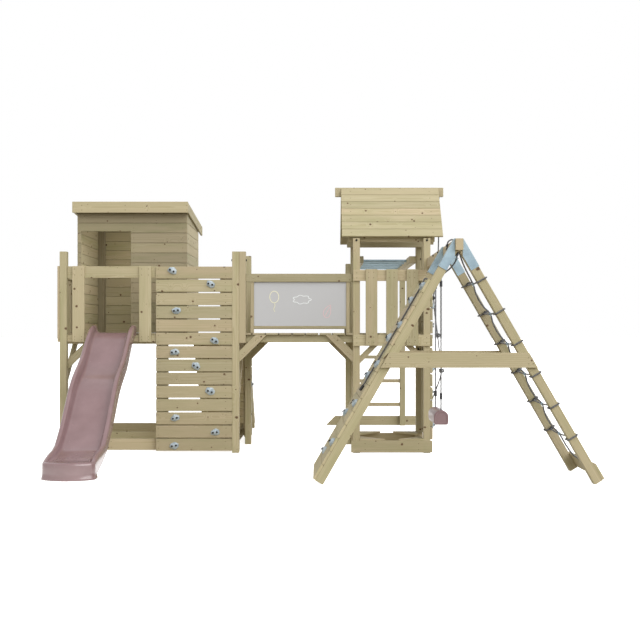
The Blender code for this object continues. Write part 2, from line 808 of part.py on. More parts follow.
def bridge_deck(carrier):
    """Boards that run across the bridge, on two battens between the beams."""
    left = BRIDGE_LEFT + BRIDGE_SHORT_POST + GAP
    right = TOWER_LEFT - GAP
    back_post = right - BRIDGE_REAR_POST
    boards = []
    edges = [left, left + 0.055]
    edge = left + 0.055
    while edge < right - 0.03:
        low = edge + 0.013
        high = min(low + 0.121, right)
        edges += [low, high]
        edge = high
    for low, high in zip(edges[::2], edges[1::2]):
        back = MIDDLE_ROW - GAP if high > back_post - GAP else MIDDLE_ROW + POST
        boards.append(block(low, high, 0.0, back, DECK_UNDER, DECK_TOP))
    under = DECK_UNDER + BITE
    battens = [
        block(left + 0.002, right - 0.002, 0.20, 0.20 + POST, 1.120, under),
        block(left + 0.002, right - 0.002, 0.50, 0.50 + POST, 1.120, under),
    ]
    made = joined("bridge_deck", boards, battens)
    finish(made, pine("bridge_deck"), carrier)


def bridge_guard(name, y0, left, right, panel, upright, carrier):
    """A top rail, a low rail and two uprights, with a clear-cut frosted panel between them.

    Left and right are the rail's ends, panel holds those of the panel, and upright is an upright's width.
    """
    y1 = y0 + JOIST
    panel_left, panel_right = panel
    rail = [block(left, right, y0, y1, *BRIDGE_RAIL)]
    uprights = [
        block(x, x + upright, y0 + 0.008, y1 - 0.008, DECK_TOP + GAP, BRIDGE_RAIL[0] + BITE)
        for x in (panel_left - upright, panel_right)
    ]
    low = [block(panel_left - BITE, panel_right + BITE, y0 + 0.010, y1 - 0.010, *BRIDGE_LOW_RAIL)]
    made = joined(name + "_guard", rail, uprights, low)
    finish(made, pine(name + "_guard"), carrier)
    middle = (y0 + y1) / 2
    pane = solid(name + "_panel", [block(
        panel_left + GAP, panel_right - GAP, middle - PANEL / 2, middle + PANEL / 2,
        BRIDGE_LOW_RAIL[1] + GAP, BRIDGE_RAIL[0] - GAP)])
    finish(pane, material(name + "_frosted", (0.62, 0.64, 0.65), 0.35, 0.0, 0.6), carrier)


def bridge(carrier):
    """All of the bridge."""
    bridge_frames(carrier)
    bridge_deck(carrier)
    left = BRIDGE_LEFT + BRIDGE_SHORT_POST + GAP
    right = TOWER_LEFT - GAP
    panel = (BRIDGE_LEFT + 0.1467, right - 0.067)
    bridge_guard("bridge_front", 0.0125, left, right, panel, BATTEN, carrier)
    right -= BRIDGE_REAR_POST + GAP
    panel = (left + CLEAT, right - CLEAT)
    bridge_guard("bridge_rear", MIDDLE_ROW + 0.0125, left, right, panel, CLEAT, carrier)


# Right tower

def tower_posts(carrier):
    """The four posts that carry the gable roof."""
    far = TOWER_RIGHT - POST
    back = TOWER_SIZE - POST
    post("tower_front_left_post", TOWER_LEFT, 0.0, RIGHT_POST_TOP, carrier)
    post("tower_front_right_post", far, 0.0, RIGHT_POST_TOP, carrier)
    post("tower_rear_left_post", TOWER_LEFT, back, RIGHT_POST_TOP, carrier)
    post("tower_rear_right_post", far, back, RIGHT_POST_TOP, carrier)


def tower_deck(carrier):
    """Deck boards on two beams, with two knee braces at the front."""
    x0 = TOWER_LEFT + POST + GAP
    x1 = TOWER_RIGHT - POST - GAP
    back = TOWER_SIZE - POST - GAP
    boards = []
    pitch = (TOWER_SIZE + 0.013) / 6
    for row in range(6):
        low = TOWER_LEFT + row * pitch
        high = low + pitch - 0.013
        at_post = low < x0 or high > x1
        high -= WALL_BATTEN if row == 5 else 0.0
        start = POST + GAP if at_post else 0.0
        end = back if at_post else TOWER_SIZE
        boards.append(block(low, high, start, end, DECK_UNDER, DECK_TOP))
    under = DECK_UNDER + BITE
    beams = [
        block(TOWER_LEFT, TOWER_RIGHT, POST + GAP, POST + GAP + JOIST, BEAM_UNDER, under),
        block(TOWER_LEFT, TOWER_RIGHT, back - JOIST, back, BEAM_UNDER, under),
    ]
    braces = [
        brace_xz(x0, BEAM_UNDER + 0.03, 0.893, 1, 0.025, POST + 0.004, 0.055),
        brace_xz(x1, BEAM_UNDER + 0.03, 0.893, -1, 0.025, POST + 0.004, 0.055),
    ]
    made = joined("tower_deck", boards, beams, braces)
    finish(made, pine("tower_deck"), carrier)


def tower_railing(carrier):
    """Front railing: a top rail, a deck fascia and three slats in front of them."""
    x0 = TOWER_LEFT + 0.001
    x1 = TOWER_RIGHT - 0.005
    rails = [
        block(x0, x1, -GAP - BOARD, -GAP, 1.720, 1.830),
        block(x0, x1, -GAP - BOARD, -GAP, 1.070, 1.184),
    ]
    slats = []
    for x in (0.455, 0.659, 0.862):
        slats.append(block(x, x + 0.116, -2 * BOARD, -BOARD + BITE, 1.074, 1.835))
    made = joined("tower_railing", rails, slats)
    finish(made, pine("tower_railing"), carrier)


TOWER_HOLDS = ((0.10, 0.27), (0.48, 0.42), (0.17, 0.60), (0.52, 0.76), (0.10, 0.84), (0.45, 1.12),
               (0.18, 1.28), (0.06, 1.47), (0.50, 1.56), (0.22, 1.72))


def tower_side_wall(carrier):
    """Boarded climbing wall on the right side of the tower, from the sandbox to the rail."""
    x0 = TOWER_RIGHT + GAP
    foot = 0.135
    count = 13
    boards = []
    for row in range(count):
        low = foot + row * BOARD_PITCH
        boards.append(block(x0, x0 + BOARD, 0.0, TOWER_SIZE, low, low + BOARD_WIDTH))
    top = foot + count * BOARD_PITCH - 0.016
    battens = []
    for y, end in ((0.125, top), (TOWER_SIZE - 0.175, EAVES_BEAM[0] - 0.002)):
        battens.append(block(TOWER_RIGHT - WALL_BATTEN + GAP, x0 + BITE, y, y + 0.05, foot + 0.004, end))
    lumps = holds("tower_wall_holds", [(x0 + BOARD, y, z) for y, z in TOWER_HOLDS], (1, 0, 0), (0, 1, 0))
    made = joined("tower_side_climbing_wall", boards, battens, lumps)
    finish(made, pine("tower_side_climbing_wall"), carrier)


def sandbox(carrier):
    """Sandbox boards round the foot of the tower, with a seat in each corner."""
    front = -GAP - 0.018
    left = TOWER_LEFT + POST + GAP
    right = TOWER_RIGHT - POST - GAP
    back = TOWER_SIZE - POST - GAP
    low, high = 0.008, 0.125
    long_boards = [
        block(TOWER_LEFT - 0.0185, TOWER_RIGHT + 0.0175, front, -GAP, low, high),
        block(TOWER_LEFT, TOWER_RIGHT, back - 0.018, back, low, high),
    ]
    cross = [
        block(left, left + 0.018, -GAP - BITE, back - 0.018 + BITE, low + 0.001, high - 0.001),
        block(right - 0.018, right, -GAP - BITE, back - 0.018 + BITE, low + 0.001, high - 0.001),
    ]
    reach = 0.250
    under, top = high - BITE, high + 0.018
    y0 = front + 0.002
    y1 = back - 0.002
    inset = 0.0008
    seats = [
        prism("z", [(left + inset, y0), (left + reach, y0), (left + inset, y0 + reach)], under, top),
        prism("z", [(right - inset, y0), (right - reach, y0), (right - inset, y0 + reach)], under, top),
        prism("z", [(left + inset, y1), (left + reach, y1), (left + inset, y1 - reach)], under, top),
        prism("z", [(right - inset, y1), (right - reach, y1), (right - inset, y1 - reach)], under, top),
    ]
    made = joined("sandbox_frame", long_boards, cross, seats)
    finish(made, pine("sandbox_frame"), carrier)


def roof_slope(name, side, carrier):
    """One slope of the gable roof: boards with a groove at each seam. Side is -1 in front, 1 behind."""
    middle = TOWER_SIZE / 2
    ridge_half = JOIST / 2 + GAP
    top = Vector((middle + side * ridge_half, RIDGE_TOP - 0.005))
    foot = Vector((middle + side * (middle - EAVES_Y), EAVES_Z))
    run = foot - top
    length = run.length
    run.normalize()
    inward = Vector((-side * abs(run.y), -abs(run.x)))
    pitch = length / ROOF_BOARDS
    outline = []
    for row in range(ROOF_BOARDS):
        start = top + run * (row * pitch)
        if row:
            outline.append(start + inward * 0.004)
            outline.append(start + run * 0.004)
        else:
            outline.append(start)
        outline.append(top + run * ((row + 1) * pitch - (0.004 if row < ROOF_BOARDS - 1 else 0.0)))
    thick = 0.020
    under_foot = foot + inward * thick
    outline.append(under_foot)
    steps = (under_foot.x - top.x) / run.x
    outline.append(Vector((top.x, under_foot.y - run.y * steps)))
    points = [(p.x, p.y) for p in outline]
    made = solid(name, [prism("x", points, *ROOF_ENDS)])
    finish(made, pine(name), carrier)


def roof_frame(carrier):
    """Eaves beams on the posts and a pair of rafters near each gable."""
    middle = TOWER_SIZE / 2
    y0 = POST + GAP
    y1 = TOWER_SIZE - POST - GAP
    beams = [
        block(*EAVES_BEAM_ENDS, y0, y0 + JOIST, *EAVES_BEAM),
        block(*EAVES_BEAM_ENDS, y1 - JOIST, y1, *EAVES_BEAM),
    ]
    top = Vector((JOIST / 2 + GAP, RIDGE_TOP - 0.005))
    foot = Vector((middle - EAVES_Y, EAVES_Z))
    slope = (top.y - foot.y) / (foot.x - top.x)
    skin = 0.0215 * math.sqrt(1 + slope * slope)
    deep = skin + 0.060 * math.sqrt(1 + slope * slope)
    rafters = []
    blocks = []
    tie_z = EAVES_BEAM[0] + 0.002

    def height(reach, drop):
        return top.y - (reach - top.x) * slope - drop

    for x in (EAVES_BEAM_ENDS[0] + 0.001, EAVES_BEAM_ENDS[1] - JOIST - 0.001):
        for side in (-1, 1):
            inner = ridge_face = JOIST / 2 + GAP
            outer = middle - y0 - 0.001
            reach_low = top.x + (top.y - deep - tie_z) / slope
            outline = [
                (middle + side * ridge_face, height(inner, skin)),
                (middle + side * outer, height(outer, skin)),
                (middle + side * outer, tie_z),
                (middle + side * min(reach_low, outer - 0.01), tie_z),
                (middle + side * ridge_face, height(inner, deep)),
            ]
            rafters.append(prism("x", outline, x, x + JOIST))
        ridge_under = RIDGE_TOP - RIDGE_DEPTH - GAP
        blocks.append(block(x + 0.002, x + JOIST - 0.002, middle - 0.05, middle + 0.05,
                            ridge_under - 0.055, ridge_under))
    made = joined("roof_frame", beams, rafters, blocks)
    finish(made, pine("roof_frame"), carrier)


def ridge_beam(carrier):
    """Beam along the ridge, with its ends out past both gables."""
    middle = TOWER_SIZE / 2
    made = solid("ridge_beam", [block(
        *RIDGE_ENDS, middle - JOIST / 2, middle + JOIST / 2, RIDGE_TOP - RIDGE_DEPTH, RIDGE_TOP)])
    finish(made, pine("ridge_beam"), carrier)


# Monkey bars

def rung_places():
    """Depth of each monkey bar."""
    return [RUNG_FIRST + row * RUNG_PITCH for row in range(RUNG_COUNT)]


def round_bar(name, start, end, radius, sides=12):
    """A closed round bar between two points."""
    axis = Vector(end) - Vector(start)
    bm = bmesh.new()
    turn = axis.to_track_quat("Z", "Y").to_matrix().to_4x4()
    place = Matrix.Translation((Vector(start) + Vector(end)) / 2) @ turn
    bmesh.ops.create_cone(bm, cap_ends=True, segments=sides, radius1=radius, radius2=radius,
                          depth=axis.length, matrix=place)
    return mesh_object(name, bm)


def monkey_bars(carrier):
    """Two rails with a blind hole for each steel rung, and the rungs."""
    left = TOWER_LEFT + POST + GAP
    right = TOWER_RIGHT - POST - GAP
    back = LADDER_Y + POST
    low = RAIL_TOP - RAIL_DEPTH
    outline = [
        (RAIL_FRONT, low), (back, low), (back, RAIL_TOP), (RAIL_FRONT + 0.025, RAIL_TOP),
        (RAIL_FRONT, RAIL_TOP - 0.025),
    ]
    for name, x0 in (("monkey_bar_left_rail", left), ("monkey_bar_right_rail", right - POST)):
        rail = solid(name, [prism("x", outline, x0, x0 + POST)])
        inner = x0 + POST if x0 == left else x0
        into = -1 if x0 == left else 1
        for number, y in enumerate(rung_places()):
            start = (inner - into * 0.01, y, RUNG_Z)
            end = (inner + into * (RUNG_SOCKET + 0.001), y, RUNG_Z)
            cut(rail, round_bar(f"hole_{number}", start, end, RUNG_RADIUS + GAP))
        finish(rail, pine(name), carrier)
    for number, y in enumerate(rung_places(), 1):
        name = f"monkey_bar_rung_{number}"
        start = (left + POST - RUNG_SOCKET, y, RUNG_Z)
        end = (right - POST + RUNG_SOCKET, y, RUNG_Z)
        rung = round_bar(name, start, end, RUNG_RADIUS)
        smooth(rung)
        finish(rung, painted_steel(name), carrier)


def end_ladder(carrier):
    """Far support of the monkey bars: two posts, three wooden rungs and a foot beam."""
    x0, x1 = TOWER_LEFT, TOWER_RIGHT
    y0, y1 = LADDER_Y, LADDER_Y + POST
    posts = [
        block(x0, x0 + POST, y0, y1, 0.0, RAIL_TOP),
        block(x1 - POST, x1, y0, y1, 0.0, RAIL_TOP),
    ]
    rungs = []
    for z in (0.273, 0.579, 0.888):
        rungs.append(block(x0 + POST - BITE, x1 - POST + BITE, y0 + 0.0125, y1 - 0.0125,
                           z - JOIST / 2, z + JOIST / 2))
    foot_left, foot_right = 0.0845, 1.3505
    outline = [
        (foot_left, 0.0), (foot_right, 0.0), (foot_right, 0.006), (foot_right - 0.112, 0.120),
        (foot_left + 0.112, 0.120), (foot_left, 0.006),
    ]
    foot = [prism("y", outline, y1 - BITE, LADDER_BACK)]
    made = joined("end_ladder", posts, rungs, foot)
    finish(made, pine("end_ladder"), carrier)


# Climbing A-frames

def leg_x(z, side, off=0.0):
    """Where a leg's centreline crosses a height, shifted off square to the leg."""
    reach = (APEX_Z - z) / math.tan(LEG_ANGLE) + off / math.sin(LEG_ANGLE)
    return FRAME_X + side * reach


def leg_outline(side):
    """Outline in XZ of one leg: square-cut foot with a small flat, and notched beside the beam."""
    half = POST / 2
    slope = math.tan(LEG_ANGLE)
    beam_side = BEAM_WIDTH / 2 + GAP
    notch_z = BEAM_FOOT - GAP
    c, s = math.cos(LEG_ANGLE), math.sin(LEG_ANGLE)
    mid_x = (APEX_Z - FOOT_Z) / slope
    outer_foot = (mid_x + half * s, FOOT_Z + half * c)
    inner_foot = (mid_x - half * s, FOOT_Z - half * c)
    ground_out = inner_foot[0] + (0.0 - inner_foot[1]) / (c / s)
    ground_in = inner_foot[0] - (0.0 - inner_foot[1]) / slope
    inner_top = (APEX_Z - notch_z) / slope - half / s
    outer_top = (APEX_Z - LEG_TOP) / slope + half / s
    points = [
        (outer_foot[0], outer_foot[1]),
        (ground_out, 0.0),
        (ground_in, 0.0),
        (inner_top, notch_z),
        (beam_side, notch_z),
        (beam_side, LEG_TOP),
        (outer_top, LEG_TOP),
    ]
    return [(FRAME_X + side * x, z) for x, z in points]


def a_frame(name, y0, bar_front, carrier):
    """Two legs tied by a crossbar on one face. The crossbar's ends follow the legs' outer faces."""
    y1 = y0 + POST
    legs = [prism("y", leg_outline(-1), y0, y1), prism("y", leg_outline(1), y0, y1)]
    low, high = CROSSBAR
    off = POST / 2 - 0.0005
    outline = [
        (leg_x(low, -1, off), low), (leg_x(low, 1, off), low),
        (leg_x(high, 1, off), high), (leg_x(high, -1, off), high),
    ]
    if bar_front:
        bar = [prism("y", outline, y0 - 0.028, y0 + BITE)]
    else:
        bar = [prism("y", outline, y1 - BITE, y1 + 0.028)]
    made = joined(name, legs, bar)
    finish(made, pine(name), carrier)


def apex_bracket(name, y0, carrier):
    """Folded steel saddle over the tops of two legs, with an opening for the beam."""
    y1 = y0 + POST
    half = POST / 2
    sheet = BRACKET_SHEET
    c, s = math.cos(LEG_ANGLE), math.sin(LEG_ANGLE)
    slope = math.tan(LEG_ANGLE)

    def arm(off_out, off_in, reach, top):
        end = (APEX_Z - (BEAM_TOP - reach * s)) / slope
        end_z = BEAM_TOP - reach * s
        right = [
            ((APEX_Z - top) / slope + off_out / s, top),
            (end + off_out * s, end_z + off_out * c),
            (end - off_in * s, end_z - off_in * c),
        ]
        return right

    outer = arm(half + GAP + sheet, half, BRACKET_ARM, BEAM_TOP + GAP + sheet)
    notch = APEX_Z - half / c
    outline = [(FRAME_X + x, z) for x, z in outer]
    outline.append((FRAME_X, notch))
    outline += [(FRAME_X - x, z) for x, z in reversed(outer)]
    made = solid(name, [prism("y", outline, y0 - GAP - sheet, y1 + GAP + sheet)])
    inner = arm(half + GAP, half + 0.05, BRACKET_ARM + 0.2, BEAM_TOP + GAP)
    inside = [(FRAME_X + x, z) for x, z in inner]
    inside.append((FRAME_X, notch - 0.12))
    inside += [(FRAME_X - x, z) for x, z in reversed(inner)]
    cut(made, [prism("y", inside, y0 - GAP, y1 + GAP)])
    beam_half = BEAM_WIDTH / 2 + GAP
    cut(made, [block(FRAME_X - beam_half, FRAME_X + beam_half, y0 - 0.1, y1 + 0.1,
                     BEAM_FOOT - 0.05, BEAM_TOP + GAP)])
    finish(made, painted_steel(name), carrier)


def top_beam(carrier):
    """Beam from the front A-frame to the front right post of the tower."""
    half = BEAM_WIDTH / 2
    made = solid("swing_beam", [block(FRAME_X - half, FRAME_X + half, BEAM_FRONT, -GAP, BEAM_FOOT, BEAM_TOP)])
    finish(made, pine("swing_beam"), carrier)


ROCK_HOLDS = ((0, 0.42), (1, 0.10), (3, 0.46), (4, 0.10), (6, 0.42), (7, 0.10),
              (9, 0.46), (10, 0.10), (12, 0.42), (13, 0.10))


def leg_point(side, along, y, off=0.0):
    """A point beside a leg: side, distance up the leg from its foot, depth, and off its centreline."""
    c, s = math.cos(LEG_ANGLE), math.sin(LEG_ANGLE)
    x = (APEX_Z - FOOT_Z) / math.tan(LEG_ANGLE) - c * along + s * off
    return Vector((FRAME_X + side * x, y, FOOT_Z + s * along + c * off))


def rock_wall(carrier):
    """Boards on the outer faces of the left legs, with a groove at each seam, and climbing holds."""
    inner = POST / 2 + GAP
    outer = inner + ROCK_THICK
    edges = [ROCK_FOOT] + [ROCK_FIRST + row * ROCK_PITCH for row in range(ROCK_BOARDS + 1)]
    section = [(edges[0], inner), (edges[0], outer)]
    for edge in edges[1:-1]:
        section += [(edge - 0.004, outer), (edge, outer - 0.005), (edge + 0.004, outer)]
    section += [(edges[-1], outer), (edges[-1], inner)]
    corners = [leg_point(-1, along, 0.0, off) for along, off in section]
    outline = [(corner.x, corner.z) for corner in corners]
    made = solid("rock_wall", [prism("y", outline, FRONT_FRAME_Y, REAR_FRAME_Y + POST)])
    places = []
    for row, across in ROCK_HOLDS:
        along = ROCK_FIRST + (row + 0.5) * ROCK_PITCH
        places.append(leg_point(-1, along, FRONT_FRAME_Y + across, outer))
    facing = (-math.sin(LEG_ANGLE), 0.0, math.cos(LEG_ANGLE))
    combine(made, holds("rock_wall_holds", places, facing, (0, 1, 0)), "UNION")
    finish(made, pine("rock_wall"), carrier)


def net_foot_board(carrier):
    """Board across the outer faces of the two right legs at the ground, which ties down the net."""
    inner = POST / 2 + GAP
    corners = [leg_point(1, along, 0.0, off) for along, off in (
        (ROCK_FOOT, inner), (ROCK_FOOT, inner + BOARD), (0.140, inner + BOARD), (0.140, inner))]
    outline = [(corner.x, corner.z) for corner in corners]
    made = solid("net_foot_board", [prism("y", outline, FRONT_FRAME_Y, REAR_FRAME_Y + POST)])
    finish(made, pine("net_foot_board"), carrier)


def leg_loop(along, y0, y1):
    """Points of a rope loop round one leg."""
    out = POST / 2 + NET_ROPE + 0.0012
    near = y0 - NET_ROPE - 0.0012
    far = y1 + NET_ROPE + 0.0012
    r = 0.0046
    corners = []
    for y, off, dy, do in ((near, -out, 1, 1), (far, -out, -1, 1), (far, out, -1, -1), (near, out, 1, -1)):
        first = (y, off + do * r)
        second = (y + dy * r, off)
        pair = (first, second) if (dy * do > 0) else (second, first)
        corners += pair
    return [leg_point(1, along, y, off) for y, off in corners]


def climbing_net(carrier):
    """Rope net on the right legs: rungs looped round both legs and one rope down the middle."""
    rungs = []
    front = (FRONT_FRAME_Y, FRONT_FRAME_Y + POST)
    rear = (REAR_FRAME_Y, REAR_FRAME_Y + POST)
    parts = []
    for row in range(NET_RUNGS):
        along = NET_FIRST + row * NET_PITCH
        start = front[1] + NET_ROPE + 0.0012
        end = rear[0] - NET_ROPE - 0.0012
        points = []
        for step in range(9):
            share = step / 8
            point = leg_point(1, along, start + (end - start) * share, -NET_INWARD)
            point.z -= NET_SAG * math.sin(math.pi * share)
            points.append(point)
        rungs.append(tube_object(f"net_rung_{row}", points, NET_ROPE, 6))
        parts.append(tube_object(f"net_loop_{row}a", leg_loop(along, *front), NET_ROPE, 6, True))
        parts.append(tube_object(f"net_loop_{row}b", leg_loop(along, *rear), NET_ROPE, 6, True))
    made = rungs[0]
    made.name = "climbing_net"
    middle = (front[1] + rear[0]) / 2 + 0.0013
    rows = [NET_FIRST + row * NET_PITCH for row in range(NET_RUNGS)]
    points = [leg_point(1, 0.125, middle, POST / 2 - NET_ROPE)]
    points.append(leg_point(1, 0.150, middle, 0.022))
    points.append(leg_point(1, 0.200, middle, 0.002))
    points.append(leg_point(1, 0.290, middle, -0.008))
    for low, high in zip(rows, rows[1:]):
        for step in range(4):
            share = step / 4
            inward = NET_INWARD + NET_BULGE * math.sin(math.pi * share)
            point = leg_point(1, low + (high - low) * share, middle, -inward)
            point.z -= NET_SAG
            points.append(point)
    last = leg_point(1, rows[-1], middle, -NET_INWARD)
    last.z -= NET_SAG
    points.append(last)
    points.append(Vector((NET_TOP_X + 0.060, middle - 0.150, BEAM_FOOT - 0.110)))
    points.append(Vector((NET_TOP_X, NET_TOP_Y, BEAM_FOOT - 0.012)))
    points.append(Vector((NET_TOP_X, NET_TOP_Y, BEAM_FOOT - GAP)))
    spine = tube_object("net_spine", points, NET_ROPE, 6)
    combine(made, spine, "UNION")
    for extra in rungs[1:] + parts:
        combine(made, extra, "UNION")
    smooth(made)
    finish(made, rope_fibre("climbing_net"), carrier)


# Swing

def swing_hangers(carrier):
    """Steel hangers under the beam: a plate, two cheeks and the pin on which the carabiner turns."""
    for name, y in (("front_swing_hanger", SWING_ROPES_Y[0]), ("rear_swing_hanger", SWING_ROPES_Y[1])):
        top = BEAM_FOOT - GAP
        x0, x1 = FRAME_X - 0.012, FRAME_X + 0.012
        plate = [block(FRAME_X - 0.025, FRAME_X + 0.025, y - 0.020, y + 0.020, top - 0.004, top)]
        cheeks = [
            block(x0, x1, start, start + 0.005, SWING_PIVOT_Z - 0.012, top - 0.003)
            for start in (y - 0.014, y + 0.009)
        ]
        made = joined(name, plate, cheeks)
        ends = [(FRAME_X, y + way * 0.0115, SWING_PIVOT_Z) for way in (-1, 1)]
        pin = round_bar("pin", *ends, 0.004, 10)
        combine(made, pin, "UNION")
        finish(made, painted_steel(name), carrier)


def swing(carrier):
    """Seat and two ropes, which turn about the pins of the hangers."""
    pivot = bpy.data.objects.new("swing_pivot", None)
    bpy.context.scene.collection.objects.link(pivot)
    pivot.parent = carrier
    middle_y = sum(SWING_ROPES_Y) / 2
    pivot.location = (FRAME_X, middle_y, SWING_PIVOT_Z)
    back = Matrix.Translation(-Vector(pivot.location))
    seat_top = SEAT_UNDER + SEAT_HEIGHT
    rope_end = seat_top - 0.050
    for name, y in (("front_swing_rope", SWING_ROPES_Y[0]), ("rear_swing_rope", SWING_ROPES_Y[1])):
        eye = []
        for step in range(12):
            turn = math.radians(30 * step)
            eye.append((FRAME_X + EYE_RADIUS * math.sin(turn), y,
                        SWING_PIVOT_Z - EYE_DROP + EYE_RADIUS * math.cos(turn)))
        loop = tube_object(name, eye, 0.0032, 6, True)
        stem = [(FRAME_X, y, z) for z in (
            SWING_PIVOT_Z - EYE_DROP - EYE_RADIUS, SWING_PIVOT_Z - 0.060, SWING_PIVOT_Z - 0.0605, rope_end)]
        scales = (0.5, 0.5, 1.0, 1.0)
        stem = [(*point, scale) for point, scale in zip(stem, scales)]
        rope = tube_object(name + "_stem", stem, NET_ROPE, 8)
        combine(loop, rope, "UNION")
        for z in (SWING_PIVOT_Z - 0.180, seat_top + 0.100):
            sleeve = round_bar("sleeve", (FRAME_X, y, z), (FRAME_X, y, z + 0.055), 0.013, 10)
            combine(loop, sleeve, "UNION")
        finish(loop, rope_fibre(name), pivot)
        loop.data.transform(back)

    seat_y0 = middle_y - SEAT_LENGTH / 2
    seat_y1 = middle_y + SEAT_LENGTH / 2
    wide, straight = SEAT_HALF_WIDTH, 0.072
    half = [(0.050, 0.0), (0.060, 0.008), (wide, 0.030), (wide, straight)]
    for step in range(1, 6):
        turn = math.radians(18 * step)
        half.append((wide * math.cos(turn), straight + (SEAT_HEIGHT - straight) * math.sin(turn)))
    outline = [(FRAME_X + x, SEAT_UNDER + z) for x, z in half]
    outline += [(FRAME_X - x, SEAT_UNDER + z) for x, z in reversed(half[:-1])]
    seat = solid("swing_seat", [prism("y", outline, seat_y0, seat_y1)])
    for y in SWING_ROPES_Y:
        cut(seat, round_bar("rope_hole", (FRAME_X, y, rope_end - GAP), (FRAME_X, y, seat_top + 0.02),
                            NET_ROPE + 3 * GAP, 12))
    finish(seat, material("swing_seat_plastic", (0.55, 0.34, 0.38), 0.45), pivot)
    seat.data.transform(back)


# Loose ropes

ROPE_ACROSS = FRONT_FRAME_Y + 0.175
ROPE_REST = POST / 2 + GAP + ROCK_THICK + CLIMB_ROPE + 0.001
KNOTTED_ROPE = (
    (1.2400, 2.6187), (1.2385, 2.400), (1.2340, 2.080), (1.2160, 1.780), (1.1870, 1.600),
    (1.1880, 1.520), (1.2050, 1.340), (1.2240, 1.190), (1.2450, 1.010), (1.2640, 0.840),
    (1.2620, 0.770), (1.2250, 0.650), (1.1900, 0.560), (1.1660, 0.490), (1.1620, 0.410),
)
KNOTS = (1.564, 1.179, 0.805)


def along_route(route, spacing):
    """Points at an even spacing along a smooth curve through the route's points."""
    corners = [Vector(point) for point in route]
    padded = [2 * corners[0] - corners[1]] + corners + [2 * corners[-1] - corners[-2]]
    fine = []
    for a, b, c, d in zip(padded, padded[1:], padded[2:], padded[3:]):
        for step in range(40):
            t = step / 40
            fine.append(0.5 * ((2 * b) + (c - a) * t + (2 * a - 5 * b + 4 * c - d) * t * t
                               + (3 * b - a - 3 * c + d) * t * t * t))
    fine.append(corners[-1])
    total = sum((after - before).length for before, after in zip(fine, fine[1:]))
    count = max(2, round(total / spacing))
    places = [fine[0]]
    walked = 0.0
    for before, after in zip(fine, fine[1:]):
        step = (after - before).length
        while len(places) < count and walked + step >= total * len(places) / count:
            share = (total * len(places) / count - walked) / step
            places.append(before.lerp(after, share))
        walked += step
    places.append(fine[-1])
    return places


def knotted_rope(carrier):
    """Climbing rope that hangs from the end of the ridge beam, with three knots and an end cap."""
    middle = TOWER_SIZE / 2
    route = [(x, middle, z) for x, z in KNOTTED_ROPE]
    points = []
    for point in along_route(route, 2.4 * 2 * CLIMB_ROPE):
        swell = 1.0
        for knot in KNOTS:
            swell += 2.1 * math.exp(-((point.z - knot) / 0.022) ** 2)
        if point.z < KNOTTED_ROPE[-1][1] + 0.055:
            swell = 1.75
        points.append((*point, swell))
    hang(cord_object("knotted_rope", points, CLIMB_ROPE), rope_fibre("knotted_rope"), carrier)


def wall_rope(carrier):
    """Rope from under the beam, over the top board and down the face of the rock wall."""
    y = ROPE_ACROSS
    top = ROCK_FIRST + ROCK_BOARDS * ROCK_PITCH
    drop = [(FRAME_X + 0.012, y, BEAM_FOOT - GAP), (FRAME_X + 0.010, y, BEAM_FOOT - 0.042),
            (FRAME_X - 0.012, y, 1.762), (FRAME_X - 0.060, y, 1.710), (FRAME_X - 0.135, y, 1.660)]
    drop.append(tuple(leg_point(-1, top + 0.0095, y, 0.030)))
    edge = [leg_point(-1, along, y, off) for along, off in ((top + 0.012, 0.053), (top + 0.004, 0.070))]
    face = [(top - 0.020, ROPE_REST + 0.001), (1.30, ROPE_REST), (0.870, ROPE_REST + 0.004),
            (0.790, ROPE_REST + 0.007)]
    lie = [tuple(leg_point(-1, along, y, off)) for along, off in face]
    spacing = 2.4 * 2 * CLIMB_ROPE
    points = []
    for point in along_route(drop, spacing) + edge + along_route(lie, spacing):
        near_end = (point - Vector(lie[-1])).length < 0.050
        points.append((*point, 1.7 if near_end else 1.0))
    hang(cord_object("wall_rope", points, CLIMB_ROPE), rope_fibre("wall_rope"), carrier)


def main():
    """Build every piece."""
    clear_scene()
    carrier = bpy.data.objects.new("play_tower", None)
    bpy.context.scene.collection.objects.link(carrier)
    carrier.location = (-CENTRE_X, -CENTRE_Y, 0.0)
    left_posts(carrier)
    left_deck(carrier)
    left_base_frame(carrier)
    left_front_fence(carrier)
    left_side_fence(carrier)
    front_climbing_wall(carrier)
    left_side_climbing_wall(carrier)
    rear_ramp(carrier)
    house_walls(carrier)
    house_roof(carrier)
    slide(carrier)
    bridge(carrier)
    tower_posts(carrier)
    tower_deck(carrier)
    tower_railing(carrier)
    tower_side_wall(carrier)
    sandbox(carrier)
    roof_slope("roof_front_slope", -1, carrier)
    roof_slope("roof_rear_slope", 1, carrier)
    roof_frame(carrier)
    ridge_beam(carrier)
    monkey_bars(carrier)
    end_ladder(carrier)
    a_frame("front_a_frame", FRONT_FRAME_Y, True, carrier)
    a_frame("rear_a_frame", REAR_FRAME_Y, False, carrier)
    apex_bracket("front_apex_bracket", FRONT_FRAME_Y, carrier)
    apex_bracket("rear_apex_bracket", REAR_FRAME_Y, carrier)
    top_beam(carrier)
    rock_wall(carrier)
    net_foot_board(carrier)
    climbing_net(carrier)
    swing_hangers(carrier)
    swing(carrier)
    knotted_rope(carrier)
    wall_rope(carrier)


main()
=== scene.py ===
"""Looks of a wooden play tower: a playhouse with a slide, a bridge, a roofed tower, monkey bars and a swing.

Lengths are in metres. Places are given on the drawing: X runs right along the front of the towers, Y runs
back from the front face of the tower posts, and Z runs up from the ground. Each finished piece is moved
from the drawing into the frame by one shift, which is read from the frame's first post.
"""
from __future__ import annotations

import json
import logging
import math
import random
from collections.abc import Sequence
from dataclasses import dataclass
from enum import Enum

